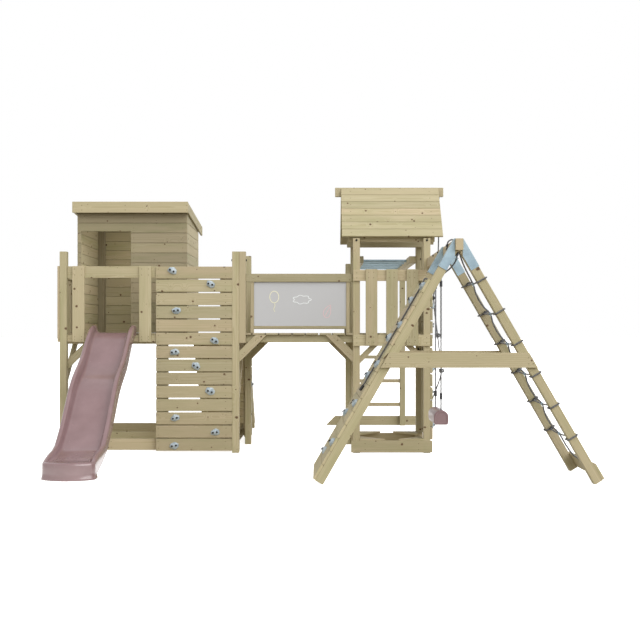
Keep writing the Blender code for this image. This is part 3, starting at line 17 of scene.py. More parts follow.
import bmesh
import bpy
from mathutils import Matrix, Vector, noise
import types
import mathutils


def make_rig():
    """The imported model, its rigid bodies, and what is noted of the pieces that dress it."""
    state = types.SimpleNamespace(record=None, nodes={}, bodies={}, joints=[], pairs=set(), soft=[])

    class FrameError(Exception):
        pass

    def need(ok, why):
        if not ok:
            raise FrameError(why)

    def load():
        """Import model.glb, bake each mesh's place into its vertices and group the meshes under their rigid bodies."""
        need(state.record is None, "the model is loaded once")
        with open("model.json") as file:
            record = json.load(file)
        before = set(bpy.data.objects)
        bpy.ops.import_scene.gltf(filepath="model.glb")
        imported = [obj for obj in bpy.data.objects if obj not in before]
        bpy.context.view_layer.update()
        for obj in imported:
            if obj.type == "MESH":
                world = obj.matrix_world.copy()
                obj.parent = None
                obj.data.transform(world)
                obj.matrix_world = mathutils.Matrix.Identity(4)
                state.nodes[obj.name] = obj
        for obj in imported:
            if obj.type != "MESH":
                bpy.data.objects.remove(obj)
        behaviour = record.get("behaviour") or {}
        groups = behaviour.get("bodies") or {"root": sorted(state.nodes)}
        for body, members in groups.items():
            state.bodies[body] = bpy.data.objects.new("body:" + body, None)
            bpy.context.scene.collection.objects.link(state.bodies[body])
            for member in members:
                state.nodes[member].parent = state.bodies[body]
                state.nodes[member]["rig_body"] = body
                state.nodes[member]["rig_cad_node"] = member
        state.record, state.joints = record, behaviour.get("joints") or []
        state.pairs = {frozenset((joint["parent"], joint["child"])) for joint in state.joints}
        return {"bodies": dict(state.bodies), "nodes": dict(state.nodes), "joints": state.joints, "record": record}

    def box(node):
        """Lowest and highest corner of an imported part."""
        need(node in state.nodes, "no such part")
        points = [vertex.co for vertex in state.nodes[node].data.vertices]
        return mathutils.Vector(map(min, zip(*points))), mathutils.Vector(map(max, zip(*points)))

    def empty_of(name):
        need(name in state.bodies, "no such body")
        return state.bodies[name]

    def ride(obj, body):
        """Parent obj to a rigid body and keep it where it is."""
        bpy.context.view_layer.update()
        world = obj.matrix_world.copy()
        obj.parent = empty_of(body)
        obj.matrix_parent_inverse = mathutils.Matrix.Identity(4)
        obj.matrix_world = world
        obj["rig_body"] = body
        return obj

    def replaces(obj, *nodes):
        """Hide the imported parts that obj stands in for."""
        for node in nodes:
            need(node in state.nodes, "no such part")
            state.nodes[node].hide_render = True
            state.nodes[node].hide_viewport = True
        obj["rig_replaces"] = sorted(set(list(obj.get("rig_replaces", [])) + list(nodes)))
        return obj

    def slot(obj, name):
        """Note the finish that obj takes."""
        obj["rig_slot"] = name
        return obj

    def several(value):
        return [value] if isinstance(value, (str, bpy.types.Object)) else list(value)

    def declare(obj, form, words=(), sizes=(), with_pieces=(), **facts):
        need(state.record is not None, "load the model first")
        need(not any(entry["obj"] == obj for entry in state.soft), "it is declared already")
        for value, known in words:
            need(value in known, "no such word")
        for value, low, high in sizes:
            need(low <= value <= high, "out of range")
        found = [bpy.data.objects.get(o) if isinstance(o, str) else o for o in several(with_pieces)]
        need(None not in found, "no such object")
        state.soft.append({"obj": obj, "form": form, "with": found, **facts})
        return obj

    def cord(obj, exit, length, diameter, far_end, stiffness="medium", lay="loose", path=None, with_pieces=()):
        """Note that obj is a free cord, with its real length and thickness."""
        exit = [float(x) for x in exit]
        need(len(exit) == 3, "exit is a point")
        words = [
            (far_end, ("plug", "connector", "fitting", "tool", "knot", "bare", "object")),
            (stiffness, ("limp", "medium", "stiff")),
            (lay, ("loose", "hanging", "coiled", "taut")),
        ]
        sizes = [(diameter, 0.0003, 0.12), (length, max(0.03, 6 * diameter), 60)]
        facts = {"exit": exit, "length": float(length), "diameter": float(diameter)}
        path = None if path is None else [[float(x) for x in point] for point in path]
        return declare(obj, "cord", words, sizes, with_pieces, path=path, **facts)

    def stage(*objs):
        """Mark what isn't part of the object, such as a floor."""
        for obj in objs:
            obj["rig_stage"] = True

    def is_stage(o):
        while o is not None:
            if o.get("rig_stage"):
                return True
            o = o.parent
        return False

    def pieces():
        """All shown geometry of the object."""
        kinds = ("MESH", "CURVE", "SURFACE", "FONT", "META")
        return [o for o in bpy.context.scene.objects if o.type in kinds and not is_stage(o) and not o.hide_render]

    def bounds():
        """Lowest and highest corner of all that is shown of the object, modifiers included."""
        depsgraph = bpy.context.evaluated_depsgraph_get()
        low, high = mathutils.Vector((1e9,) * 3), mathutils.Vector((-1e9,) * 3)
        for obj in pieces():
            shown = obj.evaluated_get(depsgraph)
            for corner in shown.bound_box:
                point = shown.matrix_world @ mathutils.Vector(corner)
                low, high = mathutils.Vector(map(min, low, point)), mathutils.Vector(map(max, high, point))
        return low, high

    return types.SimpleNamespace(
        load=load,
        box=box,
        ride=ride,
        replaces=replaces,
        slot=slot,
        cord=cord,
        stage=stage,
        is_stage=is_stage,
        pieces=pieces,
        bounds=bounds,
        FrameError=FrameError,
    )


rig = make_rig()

LOG = logging.getLogger("play_tower")

# Timber sections and clearances shared by the sub-assemblies
POST = 0.070
BOARD_WIDTH = 0.120
BOARD = 0.022
JOIST = 0.045
BATTEN_DEPTH = 0.022
GAP = 0.0003
BOARD_PITCH = 0.1326
DECK_TOP = 1.200
DECK_UNDER = 1.180
BEAM_UNDER = 1.090
LEFT_POST_TOP = 2.016
WALL_FOOT = 0.021
ROW_BEHIND = 0.705
# Seam between boards laid edge to edge, and how deep the tongues that close it lie
SEAM = 0.003
TONGUE_IN = 0.0075
# Least angles of sharp edges: on ropes and lumps, on moulded caps, and on turned steel
SOFT_CREASE = math.radians(60)
CAP_CREASE = math.radians(40)
HARD_CREASE = math.radians(35)

# Platform corners on the drawing
LEFT_OUT = -2.605
LEFT_IN = -0.810
LEFT_BACK = 1.480
TOWER_LEFT = 0.330
TOWER_SIZE = 0.775
TOWER_RIGHT = TOWER_LEFT + TOWER_SIZE

# Climbing A-frames
FRAME_X = 1.099
APEX_Z = 1.933
FOOT_Z = 0.015
LEG_ANGLE = math.radians(60)
FRONT_FRAME_Y = -1.885
REAR_FRAME_Y = -1.185
BEAM_WIDTH = 0.060
BEAM_TOP = 1.945
BEAM_FOOT = 1.853
LEG_TOP = 1.933

X = Vector((1.0, 0.0, 0.0))
Y = Vector((0.0, 1.0, 0.0))
Z = Vector((0.0, 0.0, 1.0))
ROUND = 2 * math.pi

Point = tuple[float, float]
Place = tuple[float, float, float]
Colour = tuple[float, float, float, float]
Tree = bpy.types.NodeTree
Socket = bpy.types.NodeSocket
Mesh = bmesh.types.BMesh


class Axis(Enum):
    """Direction in which an outline is pushed. The outline lies in the other two axes, in their order."""

    X = 0
    Y = 1
    Z = 2

    def lift(self, point: Point, height: float) -> Vector:
        """Place a point of an outline at a height along this axis."""
        spot = list(point)
        spot.insert(self.value, height)
        return Vector(spot)

    @property
    def unit(self) -> Vector:
        """Unit vector along this axis."""
        return (X, Y, Z)[self.value].copy()


class Body(Enum):
    """Moving bodies of the frame."""

    STRUCTURE = "structure"
    SWING = "swing"


def linear(code: str) -> Colour:
    """Turn an sRGB hex colour into linear values.

    Args:
        code: Six hex digits after a hash sign.

    Returns:
        Red, green, blue and an alpha of one.
    """
    shares = [int(code[i:i + 2], 16) / 255 for i in (1, 3, 5)]
    return (*(s / 12.92 if s <= 0.04045 else ((s + 0.055) / 1.055) ** 2.4 for s in shares), 1.0)


def fill(tree: Tree, node: bpy.types.Node, values: dict) -> None:
    """Link or set a node's inputs, which are given by name or number."""
    for key, value in values.items():
        if isinstance(value, bpy.types.NodeSocket):
            tree.links.new(value, node.inputs[key])
        else:
            node.inputs[key].default_value = value


def add(tree: Tree, kind: str, settings: dict | None = None, links: dict | None = None) -> bpy.types.Node:
    """Add a node, set its settings and fill its sockets.

    Args:
        tree: Tree that takes the node.
        kind: Blender's name of the node type.
        settings: Values of the node's own properties.
        links: Values or output sockets by input name or number.

    Returns:
        The new node.
    """
    node = tree.nodes.new(kind)
    for key, value in (settings or {}).items():
        setattr(node, key, value)
    fill(tree, node, links or {})
    return node


def reckon(tree: Tree, operation: str, *values: float | Socket) -> Socket:
    """Reckon with numbers and return the result's socket."""
    return add(tree, "ShaderNodeMath", {"operation": operation}, dict(enumerate(values))).outputs[0]


def reckon_places(tree: Tree, operation: str, *values: Place | Socket) -> Socket:
    """Reckon with places and return the result's socket."""
    return add(tree, "ShaderNodeVectorMath", {"operation": operation}, dict(enumerate(values))).outputs[0]


def cloudy(tree: Tree, place: Socket, scale: float, detail: float = 2.0) -> Socket:
    """Draw noise near one half."""
    links = {"Vector": place, "Scale": scale, "Detail": detail}
    return add(tree, "ShaderNodeTexNoise", links=links).outputs[0]


def between(tree: Tree, value: Socket, low: float, high: float) -> Socket:
    """Map a value of 0 to 1 onto another range."""
    links = {"Value": value, "To Min": low, "To Max": high}
    return add(tree, "ShaderNodeMapRange", links=links).outputs["Result"]


def mix(tree: Tree, share: Socket, first: Colour | Socket, second: Colour | Socket) -> Socket:
    """Mix two colours by the second one's share."""
    links = {"Factor": share, 6: first, 7: second}
    return add(tree, "ShaderNodeMix", {"data_type": "RGBA"}, links).outputs[2]


def bump(tree: Tree, height: Socket, distance: float, strength: float) -> Socket:
    """Turn a height of 0 to 1 into a normal. The distance is the height's full reach in metres."""
    links = {"Height": height, "Distance": distance, "Strength": strength}
    return add(tree, "ShaderNodeBump", links=links).outputs["Normal"]


def ramp(tree: Tree, factor: Socket, stops: Sequence[tuple[float, str]]) -> Socket:
    """Add a colour ramp.

    Args:
        tree: Tree that takes the node.
        factor: Socket that drives the ramp.
        stops: Positions with their hex colours, in order.

    Returns:
        The ramp's colour socket.
    """
    node = add(tree, "ShaderNodeValToRGB", links={"Fac": factor})
    band = node.color_ramp
    while len(band.elements) < len(stops):
        band.elements.new(1.0)
    for element, (position, code) in zip(band.elements, stops):
        element.position = position
        element.color = linear(code)
    return node.outputs["Color"]


def new_material(name: str) -> tuple[bpy.types.Material, Tree, bpy.types.Node]:
    """Make a material and return it with its tree and its Principled shader."""
    made = bpy.data.materials.new(name)
    made.use_nodes = True
    return made, made.node_tree, made.node_tree.nodes["Principled BSDF"]


def new_surface(name: str) -> tuple[bpy.types.Material, Tree, bpy.types.Node, Socket]:
    """Make a material and return it with its tree, its shader and the place on the object."""
    made, tree, shader = new_material(name)
    return made, tree, shader, add(tree, "ShaderNodeTexCoord").outputs["Object"]


@dataclass(frozen=True)
class TreatedPine:
    """Pressure-treated pine, planed and not painted: the salt leaves a green cast over pale straw wood."""

    name: str = "pressure_treated_pine"
    early: str = "#b9af8f"
    late: str = "#998d66"
    rosy: str = "#bba48a"
    green: str = "#a49f79"
    knot: str = "#5d4630"
    # Rings of 4 mm are too fine to show from the camera, so they are drawn 11 mm apart.
    ring_mm: float = 11.0
    fibre_mm: float = 2.2
    knot_cell_mm: float = 190.0
    knot_mm: float = 17.0

    def build(self) -> bpy.types.Material:
        """Make the material. It reads each board's own grain axis and tone from the mesh."""
        made, tree, shader = new_material(self.name)
        grain, tone = (add(tree, "ShaderNodeAttribute", {"attribute_name": layer}).outputs["Vector"]
                       for layer in ("grain", "tone"))
        tone = add(tree, "ShaderNodeSeparateXYZ", links={0: tone}).outputs
        distance, size = self.knots(tree, grain)
        rings = self.rings(tree, grain, distance)
        fibre = self.fibre(tree, grain)
        colour = self.colour(tree, grain, tone, rings, fibre)
        core = add(tree, "ShaderNodeMapRange", {"interpolation_type": "SMOOTHSTEP"},
                   {"Value": distance, "From Min": size, "From Max": 0.0}).outputs["Result"]
        dark = add(tree, "ShaderNodeMath", {"operation": "MULTIPLY", "use_clamp": True}, {0: core, 1: 2.4})
        knotted = mix(tree, dark.outputs[0], colour, linear(self.knot))
        normal = bump(tree, reckon(tree, "MULTIPLY_ADD", rings, -0.5, fibre), 0.0007, 0.6)
        fill(tree, shader, {"Base Color": knotted, "Roughness": between(tree, fibre, 0.58, 0.74),
                            "Normal": normal, "Specular IOR Level": 0.35})
        return made

    def knots(self, tree: Tree, grain: Socket) -> tuple[Socket, Socket]:
        """Find the nearest knot of a point.

        Args:
            tree: The material's tree.
            grain: Place in the board.

        Returns:
            Sockets with the distance to it and its radius, both as shares of a cell.
        """
        cells = 1000.0 / self.knot_cell_mm
        ragged = add(tree, "ShaderNodeTexNoise", links={"Vector": grain, "Scale": 60.0, "Detail": 1.0})
        shift = reckon_places(tree, "MULTIPLY_ADD", ragged.outputs["Color"], (0.006,) * 3, grain)
        near = add(tree, "ShaderNodeTexVoronoi", {"voronoi_dimensions": "2D"},
                   {"Vector": shift, "Scale": cells})
        share = add(tree, "ShaderNodeSeparateColor", links={0: near.outputs["Color"]})
        largest = self.knot_mm / self.knot_cell_mm
        size = add(tree, "ShaderNodeMapRange", links={
            "Value": share.outputs[0], "From Min": 0.15, "To Min": 0.006, "To Max": largest})
        return near.outputs["Distance"], size.outputs["Result"]

    def rings(self, tree: Tree, grain: Socket, distance: Socket) -> Socket:
        """Draw growth rings round the board's pith, bent round its knots.

        Args:
            tree: The material's tree.
            grain: Place in the board.
            distance: Distance to the nearest knot.

        Returns:
            Socket that runs from 0 in early wood to 1 in late wood.
        """
        slow = reckon_places(tree, "MULTIPLY", grain, (1.3, 9.0, 9.0))
        wander = add(tree, "ShaderNodeTexNoise", links={"Vector": slow, "Scale": 1.0, "Detail": 2.0})
        bent = reckon_places(tree, "MULTIPLY_ADD", wander.outputs["Color"], (0.0, 0.030, 0.030), grain)
        flat = reckon_places(tree, "MULTIPLY", bent, (0.0, 1.0, 1.0))
        reach = add(tree, "ShaderNodeVectorMath", {"operation": "LENGTH"}, {0: flat}).outputs["Value"]
        links = {"Value": distance, "From Min": 0.0, "From Max": 0.28, "To Min": 1.6, "To Max": 0.0}
        swirl = add(tree, "ShaderNodeMapRange", {"interpolation_type": "SMOOTHERSTEP"}, links)
        swirl = swirl.outputs["Result"]
        share = reckon(tree, "FRACT", reckon(tree, "MULTIPLY_ADD", reach, 1000.0 / self.ring_mm, swirl))
        return ramp(tree, share, (
            (0.0, "#000000"), (0.45, "#5a5a5a"), (0.86, "#ffffff"), (0.94, "#f0f0f0"), (1.0, "#000000")))

    def fibre(self, tree: Tree, grain: Socket) -> Socket:
        """Draw fine streaks along the board and return them as a value near one half."""
        close = 500.0 / self.fibre_mm
        return cloudy(tree, reckon_places(tree, "MULTIPLY", grain, (5.0, close, close)), 1.0, 3.0)

    def colour(self, tree: Tree, grain: Socket, tone: Sequence[Socket], rings: Socket,
               fibre: Socket) -> Socket:
        """Mix the wood's colours.

        Args:
            tree: The material's tree.
            grain: Place in the board.
            tone: The board's level and its rosy and green shares.
            rings: Late wood share.
            fibre: Streaks.

        Returns:
            Socket with the colour, without its knots.
        """
        patch = cloudy(tree, reckon_places(tree, "MULTIPLY", grain, (2.2, 14.0, 14.0)), 1.0, 3.0)
        stain = add(tree, "ShaderNodeMapRange", links={"Value": patch, "From Min": 0.35, "From Max": 0.72})
        base = mix(tree, reckon(tree, "MULTIPLY", tone[1], 0.45), linear(self.early), linear(self.rosy))
        cast = reckon(tree, "MULTIPLY", stain.outputs["Result"], tone[2])
        green = mix(tree, cast, base, linear(self.green))
        grown = mix(tree, reckon(tree, "MULTIPLY", rings, 0.42), green, linear(self.late))
        light = reckon(tree, "MULTIPLY", between(tree, fibre, 0.90, 1.08), tone[0])
        lit = add(tree, "ShaderNodeVectorMath", {"operation": "SCALE"}, {0: grown, "Scale": light})
        return lit.outputs[0]


@dataclass(frozen=True)
class PaintedSteel:
    """Powder-coated steel: a satin skin with a fine orange peel that softens its highlights."""

    name: str = "powder_coated_steel"
    light: str = "#9db4c0"
    dark: str = "#8499a6"
    peel_mm: float = 3.0
    roughness: float = 0.38

    def build(self) -> bpy.types.Material:
        """Make the material on object coordinates."""
        made, tree, shader, place = new_surface(self.name)
        cloud = cloudy(tree, place, 9.0, 3.0)
        normal = bump(tree, cloudy(tree, place, 1000.0 / self.peel_mm), 0.0004, 0.35)
        fill(tree, shader, {"Base Color": ramp(tree, cloud, ((0.3, self.dark), (0.7, self.light))),
                            "Normal": normal, "Roughness": self.roughness, "Metallic": 0.25})
        return made


@dataclass(frozen=True)
class MouldedPlastic:
    """Blow-moulded polyethylene: waxy and satin, with a fine leathery skin and slight clouding."""

    name: str
    light: str
    dark: str
    roughness: float = 0.34
    gloss: float = 0.0
    skin_mm: float = 4.0

    def build(self) -> bpy.types.Material:
        """Make the material on object coordinates."""
        made, tree, shader, place = new_surface(self.name)
        cloud = cloudy(tree, place, 6.0, 4.0)
        leather = cloudy(tree, place, 1000.0 / self.skin_mm)
        scuff = cloudy(tree, place, 38.0, 5.0)
        rough = between(tree, scuff, self.roughness - 0.06, self.roughness + 0.10)
        normal = bump(tree, leather, 0.0003, 0.25)
        fill(tree, shader, {"Base Color": ramp(tree, cloud, ((0.25, self.dark), (0.75, self.light))),
                            "Roughness": rough, "Coat Weight": self.gloss, "Coat Roughness": 0.14,
                            "Normal": normal})
        return made


@dataclass(frozen=True)
class CastResin:
    """Polyester resin filled with quartz sand, as cast climbing holds are: speckled, dull and gritty."""

    name: str = "sand_filled_resin"
    light: str = "#b9c4ca"
    dark: str = "#8595a0"
    grit_mm: float = 3.2

    def build(self) -> bpy.types.Material:
        """Make the material on object coordinates."""
        made, tree, shader, place = new_surface(self.name)
        swirl = add(tree, "ShaderNodeTexNoise", links={
            "Vector": place, "Scale": 28.0, "Detail": 4.0, "Distortion": 1.2}).outputs[0]
        grit = add(tree, "ShaderNodeTexVoronoi", links={"Vector": place, "Scale": 1000.0 / self.grit_mm})
        normal = bump(tree, grit.outputs["Distance"], 0.0007, 0.5)
        fill(tree, shader, {"Base Color": ramp(tree, swirl, ((0.32, self.dark), (0.62, self.light))),
                            "Normal": normal, "Roughness": 0.62})
        return made


@dataclass(frozen=True)
class BlackedSteel:
    """Zinc-plated steel with a black finish: dark, with a soft metal glint on rims."""

    name: str = "blackened_steel"
    colour: str = "#2b2a29"
    roughness: float = 0.42
    metallic: float = 0.7

    def build(self) -> bpy.types.Material:
        """Make the material on object coordinates."""
        made, tree, shader, place = new_surface(self.name)
        rough = between(tree, cloudy(tree, place, 160.0), self.roughness - 0.08, self.roughness + 0.12)
        fill(tree, shader, {"Roughness": rough, "Base Color": linear(self.colour), "Metallic": self.metallic})
        return made


@dataclass(frozen=True)
class TwistedRope:
    """Laid polypropylene rope round a wire core: dull and fibrous, with a mottle of its yarns and painted shade that
    darkens it down between its strands.
    """

    name: str
    light: str
    dark: str
    # Yarns of 1 mm are too fine to show from the camera, so they are drawn at 2.5 mm.
    yarn_mm: float = 2.5

    def build(self) -> bpy.types.Material:
        """Make the material. The rope's own map runs round it in U and along it, in metres, in V."""
        made, tree, shader = new_material(self.name)
        place = add(tree, "ShaderNodeUVMap", {"uv_map": "lay"}).outputs["UV"]
        yarns = 44.0 / self.yarn_mm
        slant = reckon_places(tree, "MULTIPLY", place, (yarns, 320.0, 1.0))
        turned_map = add(tree, "ShaderNodeMapping", {"vector_type": "POINT"},
                         {"Vector": slant, "Rotation": (0.0, 0.0, math.radians(28))}).outputs[0]
        wave = add(tree, "ShaderNodeTexWave", {"wave_type": "BANDS", "bands_direction": "X"},
                   {"Vector": turned_map, "Scale": 0.31, "Distortion": 0.8, "Detail": 1.0})
        # Painted shade: the bands that sink the grooves in the bump also darken them in the colour; the noise adds a
        # mottle of the yarns.
        both = reckon(tree, "MULTIPLY_ADD", cloudy(tree, slant, 2.0, 3.0), 0.5, wave.outputs["Fac"])
        share = reckon(tree, "MULTIPLY", both, 0.66)
        normal = bump(tree, both, 0.0008, 0.7)
        fill(tree, shader, {"Base Color": ramp(tree, share, ((0.1, self.dark), (0.85, self.light))),
                            "Normal": normal, "Roughness": 0.82, "Sheen Weight": 0.25})
        return made


@dataclass(frozen=True)
class EvenSurface:
    """A moulded or etched sheet or fitting of one colour, with a fine grain that breaks up its shine."""

    name: str
    colour: str
    grain_scale: float
    roughness: Point
    alpha: float = 1.0

    def build(self) -> bpy.types.Material:
        """Make the material on object coordinates."""
        made, tree, shader, place = new_surface(self.name)
        grain = cloudy(tree, place, self.grain_scale)
        rough = between(tree, grain, *self.roughness)
        fill(tree, shader, {"Roughness": rough, "Normal": bump(tree, grain, 0.0002, 0.3),
                            "Base Color": linear(self.colour), "Alpha": self.alpha})
        return made


@dataclass(frozen=True)
class PrintedInk:
    """Screen ink on the acrylic: thin, matt and slightly uneven."""

    name: str
    colour: str
    shade: str

    def build(self) -> bpy.types.Material:
        """Make the material on object coordinates."""
        made, tree, shader, place = new_surface(self.name)
        colours = ramp(tree, cloudy(tree, place, 90.0, 3.0), ((0.3, self.shade), (0.7, self.colour)))
        fill(tree, shader, {"Base Color": colours, "Roughness": 0.7})
        return made


class Finishes:
    """Every finish of the play tower, made once."""

    def __init__(self) -> None:
        """Build the materials."""
        self.pine = TreatedPine().build()
        self.steel = PaintedSteel().build()
        self.slide = MouldedPlastic("rose_polyethylene", "#8b7072", "#7e6364", 0.22, 0.9).build()
        self.seat = MouldedPlastic("mauve_polyethylene", "#967a7e", "#8a6e73", 0.28).build()
        self.resin = CastResin().build()
        self.black = BlackedSteel().build()
        self.screw = BlackedSteel("browned_screw_steel", "#6e6244", 0.6, 0.2).build()
        self.rope = TwistedRope("charcoal_laid_rope", "#737376", "#333335").build()
        self.swing_rope = TwistedRope("grey_laid_rope", "#85878c", "#4b4c50").build()
        self.nylon = EvenSurface("moulded_nylon", "#262729", 700.0, (0.38, 0.58)).build()
        # The etched sheet passes a little light and hides what stands behind it.
        self.acrylic = EvenSurface("frosted_acrylic", "#babbbe", 420.0, (0.42, 0.60), 0.93).build()


class Site:
    """What the sub-assemblies share: the finishes, and the shift from the drawing to the frame."""

    def __init__(self) -> None:
        """Read the shift from the first post and make the finishes."""
        self.shift = Vector(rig.box("left_front_left_post")[0]) - Vector((LEFT_OUT, 0.0, 0.0))
        self.finishes = Finishes()

    def at(self, place: Place | Vector) -> Vector:
        """Turn a place on the drawing into one in the frame."""
        return Vector(place) + self.shift

    def settle(self, name: str, mesh: Mesh, finish: bpy.types.Material, slot: str,
               replaced: Sequence[str] = (), body: Body = Body.STRUCTURE,
               crease: float | None = None) -> bpy.types.Object:
        """Turn a mesh into a finished piece of the frame.

        Args:
            name: Name of the piece.
            mesh: Its mesh on the drawing, which is used up.
            finish: Its material.
            slot: The record's material slot.
            replaced: CAD nodes that it stands for.
            body: Body that it rides on.
            crease: Least angle of a sharp edge on a smooth piece, or None for a flat-faced one.

        Returns:
            The piece.
        """
        bmesh.ops.translate(mesh, vec=self.shift, verts=mesh.verts)
        data = bpy.data.meshes.new(name)
        mesh.to_mesh(data)
        mesh.free()
        data.materials.append(finish)
        if crease is not None:
            data.shade_smooth()
            data.set_sharp_from_angle(angle=crease)
        piece = bpy.data.objects.new(name, data)
        bpy.context.scene.collection.objects.link(piece)
        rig.ride(piece, body.value)
        if replaced:
            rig.replaces(piece, *replaced)
        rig.slot(piece, slot)
        LOG.info("%s: %d faces", name, len(data.polygons))
        return piece


def merge(target: Mesh, extra: Mesh) -> None:
    """Add one mesh to another and free it."""
    step = bpy.data.meshes.new("step")
    extra.to_mesh(step)
    extra.free()
    target.from_mesh(step)
    bpy.data.meshes.remove(step)


def pushed(outline: Sequence[Point], push: Axis, start: float, end: float) -> Mesh:
    """Push an outline along an axis, from one height on it to another, and return the block."""
    made = bmesh.new()
    face = made.faces.new([made.verts.new(push.lift(point, start)) for point in outline])
    grown = bmesh.ops.extrude_face_region(made, geom=[face])
    tops = [v for v in grown["geom"] if isinstance(v, bmesh.types.BMVert)]
    bmesh.ops.translate(made, vec=push.unit * (end - start), verts=tops)
    return made


def soften(made: Mesh, edges: Sequence[bmesh.types.BMEdge], ease: float, segments: int = 2) -> None:
    """Round edges of a mesh, with faces that look outwards."""
    bmesh.ops.recalc_face_normals(made, faces=made.faces)
    bmesh.ops.bevel(made, geom=edges, offset=ease, offset_type="OFFSET", segments=segments, profile=0.5,
                    affect="EDGES", clamp_overlap=True, material=-1)


class Timber:
    """Boards that are screwed together, and their screws. Each board keeps its own grain, pith and tone."""

    screw_radius: float = 0.0046
    screw_rise: float = 0.0006

    def __init__(self, name: str, shade: float = 1.0, rosy: float = 0.0) -> None:
        """Start an empty stack. Its name seeds the boards' differences.

        Args:
            name: Name of the stack, which is that of its node.
            shade: How light its boards are beside the common ones: a paler or darker wood, and for some stacks painted
                shade.
            rosy: Least rosy share of its boards.
        """
        self.name = name
        self.shade = shade
        self.rosy = rosy
        self.pick = random.Random(name)
        self.mesh = bmesh.new()
        self.mesh.verts.layers.float_vector.new("grain")
        self.mesh.verts.layers.float_vector.new("tone")
        self.screws = Fasteners(name + "_screws", self.screw_radius, self.screw_rise)

    def screw(self, place: Place | Vector, out: Vector) -> None:
        """Drive a countersunk wood screw at a place on a face that looks out that way."""
        self.screws.drive(place, out)

    def board(self, low: Place, high: Place, along: Axis, ease: float = 0.003) -> None:
        """Add a squared board.

        Args:
            low: Its lowest corner.
            high: Its highest corner.
            along: Direction of its grain.
            ease: Radius of its rounded edges.
        """
        piece = bmesh.new()
        size = Vector(high) - Vector(low)
        middle = (Vector(high) + Vector(low)) / 2
        bmesh.ops.create_cube(piece, size=1.0, matrix=Matrix.LocRotScale(middle, None, size))
        self.add(piece, along.unit, (Y if along is Axis.X else X).copy(), ease)

    def sawn(self, outline: Sequence[Point], push: Axis, start: float, end: float, along: Vector,
             ease: float = 0.003) -> None:
        """Add a board sawn to an outline.

        Args:
            outline: Its corners, across the axis of the push.
            push: Axis along which the outline is pushed.
            start: Where the push starts.
            end: Where it ends.
            along: Direction of its grain.
            ease: Radius of its rounded edges.
        """
        side = push.unit
        if abs(side.dot(along)) > 0.9:
            side = X.copy() if push is not Axis.X else Y.copy()
        self.add(pushed(outline, push, start, end), along.normalized(), side, ease)

    def add(self, piece: Mesh, along: Vector, side: Vector, ease: float) -> None:
        """Round a board's edges, give it its grain and tone, and add it to the stack.

        Args:
            piece: The board's mesh, which is used up.
            along: Direction of its grain.
            side: A direction square to the grain.
            ease: Radius of its rounded edges.
        """
        soften(piece, piece.edges[:], ease)
        other = along.cross(side)
        spans = []
        for way in (side, other):
            reaches = [v.co.dot(way) for v in piece.verts]
            spans.append((max(reaches) - min(reaches), way, (max(reaches) + min(reaches)) / 2))
        (thick, face, depth), (wide, across, centre) = sorted(spans, key=lambda span: span[0])
        squarish = thick > 0.6 * wide
        if squarish:
            across, face = (across + face).normalized(), (across - face).normalized()
            centre, depth = (centre + depth) / math.sqrt(2), (centre - depth) / math.sqrt(2)
        pith_across = centre + self.pick.uniform(-0.6, 0.6) * wide
        far = self.pick.uniform(-0.8, 0.8) * thick if squarish else self.pick.choice((-1, 1)) * (
            self.pick.uniform(0.010, 0.055))
        pith_depth = depth + far
        start = self.pick.uniform(0.0, 60.0)
        level = self.shade * self.pick.uniform(0.90, 1.07)
        tone = Vector((level, max(self.pick.random() ** 1.6, self.rosy), self.pick.random()))
        grain = piece.verts.layers.float_vector.new("grain")
        shades = piece.verts.layers.float_vector.new("tone")
        for v in piece.verts:
            v[grain] = Vector((v.co.dot(along) + start, v.co.dot(across) - pith_across,
                               v.co.dot(face) - pith_depth))
            v[shades] = tone
        merge(self.mesh, piece)

    def tongue(self, outline: Sequence[Point], push: Axis, start: float, end: float, along: Vector) -> None:
        """Add the thin sheet of tongues that closes the seams of a boarded face, darkened to half the stack's
        lightness: painted shade down in the seams.

        Args:
            outline: Its corners, across the axis of the push.
            push: Axis along which the outline is pushed.
            start: Where the push starts.
            end: Where it ends.
            along: Direction of its grain.
        """
        shade = self.shade
        # Painted shade: the sheet is drawn at half lightness so that the seams read as shaded grooves.
        self.shade = 0.5 * shade
        self.sawn(outline, push, start, end, along, 0.0005)
        self.shade = shade

    def settle(self, site: Site) -> None:
        """Turn the boards into a piece that stands for the node of that name, and the screws into one."""
        site.settle(self.name + "_timber", self.mesh, site.finishes.pine, self.name, (self.name,))
        if self.screws.mesh.verts:
            self.screws.settle(site, site.finishes.screw, self.name)
        else:
            self.screws.mesh.free()


class Fasteners:
    """Small round heads of one kind, joined in one piece."""

    def __init__(self, name: str, radius: float, rise: float, sides: int = 10) -> None:
        """Start an empty group.

        Args:
            name: Name of the piece.
            radius: Radius of a head.
            rise: How far a head stands proud.
            sides: Faces round a head.
        """
        self.name = name
        self.radius = radius
        self.rise = rise
        self.sides = sides
        self.mesh = bmesh.new()

    def drive(self, place: Place | Vector, out: Vector) -> None:
        """Add a head at a place on a face that looks out that way: a low cone with a recess."""
        turn = Vector(out).to_track_quat("Z", "Y").to_matrix().to_4x4()
        depth = self.rise + 0.001
        middle = Vector(place) + Vector(out) * (self.rise - depth / 2)
        piece = bmesh.new()
        bmesh.ops.create_cone(piece, cap_ends=True, segments=self.sides, radius1=self.radius,
                              radius2=self.radius * 0.86, depth=depth,
                              matrix=Matrix.Translation(middle) @ turn)
        top = max(piece.faces, key=lambda face: face.calc_center_median().dot(out))
        bmesh.ops.inset_region(piece, faces=[top], thickness=self.radius * 0.42, depth=0.0)
        bmesh.ops.translate(piece, vec=Vector(out) * (-0.6 * self.rise), verts=top.verts)
        merge(self.mesh, piece)

    def settle(self, site: Site, finish: bpy.types.Material, slot: str,
               body: Body = Body.STRUCTURE) -> bpy.types.Object:
        """Turn the group into a piece."""
        return site.settle(self.name, self.mesh, finish, slot, body=body, crease=HARD_CREASE)


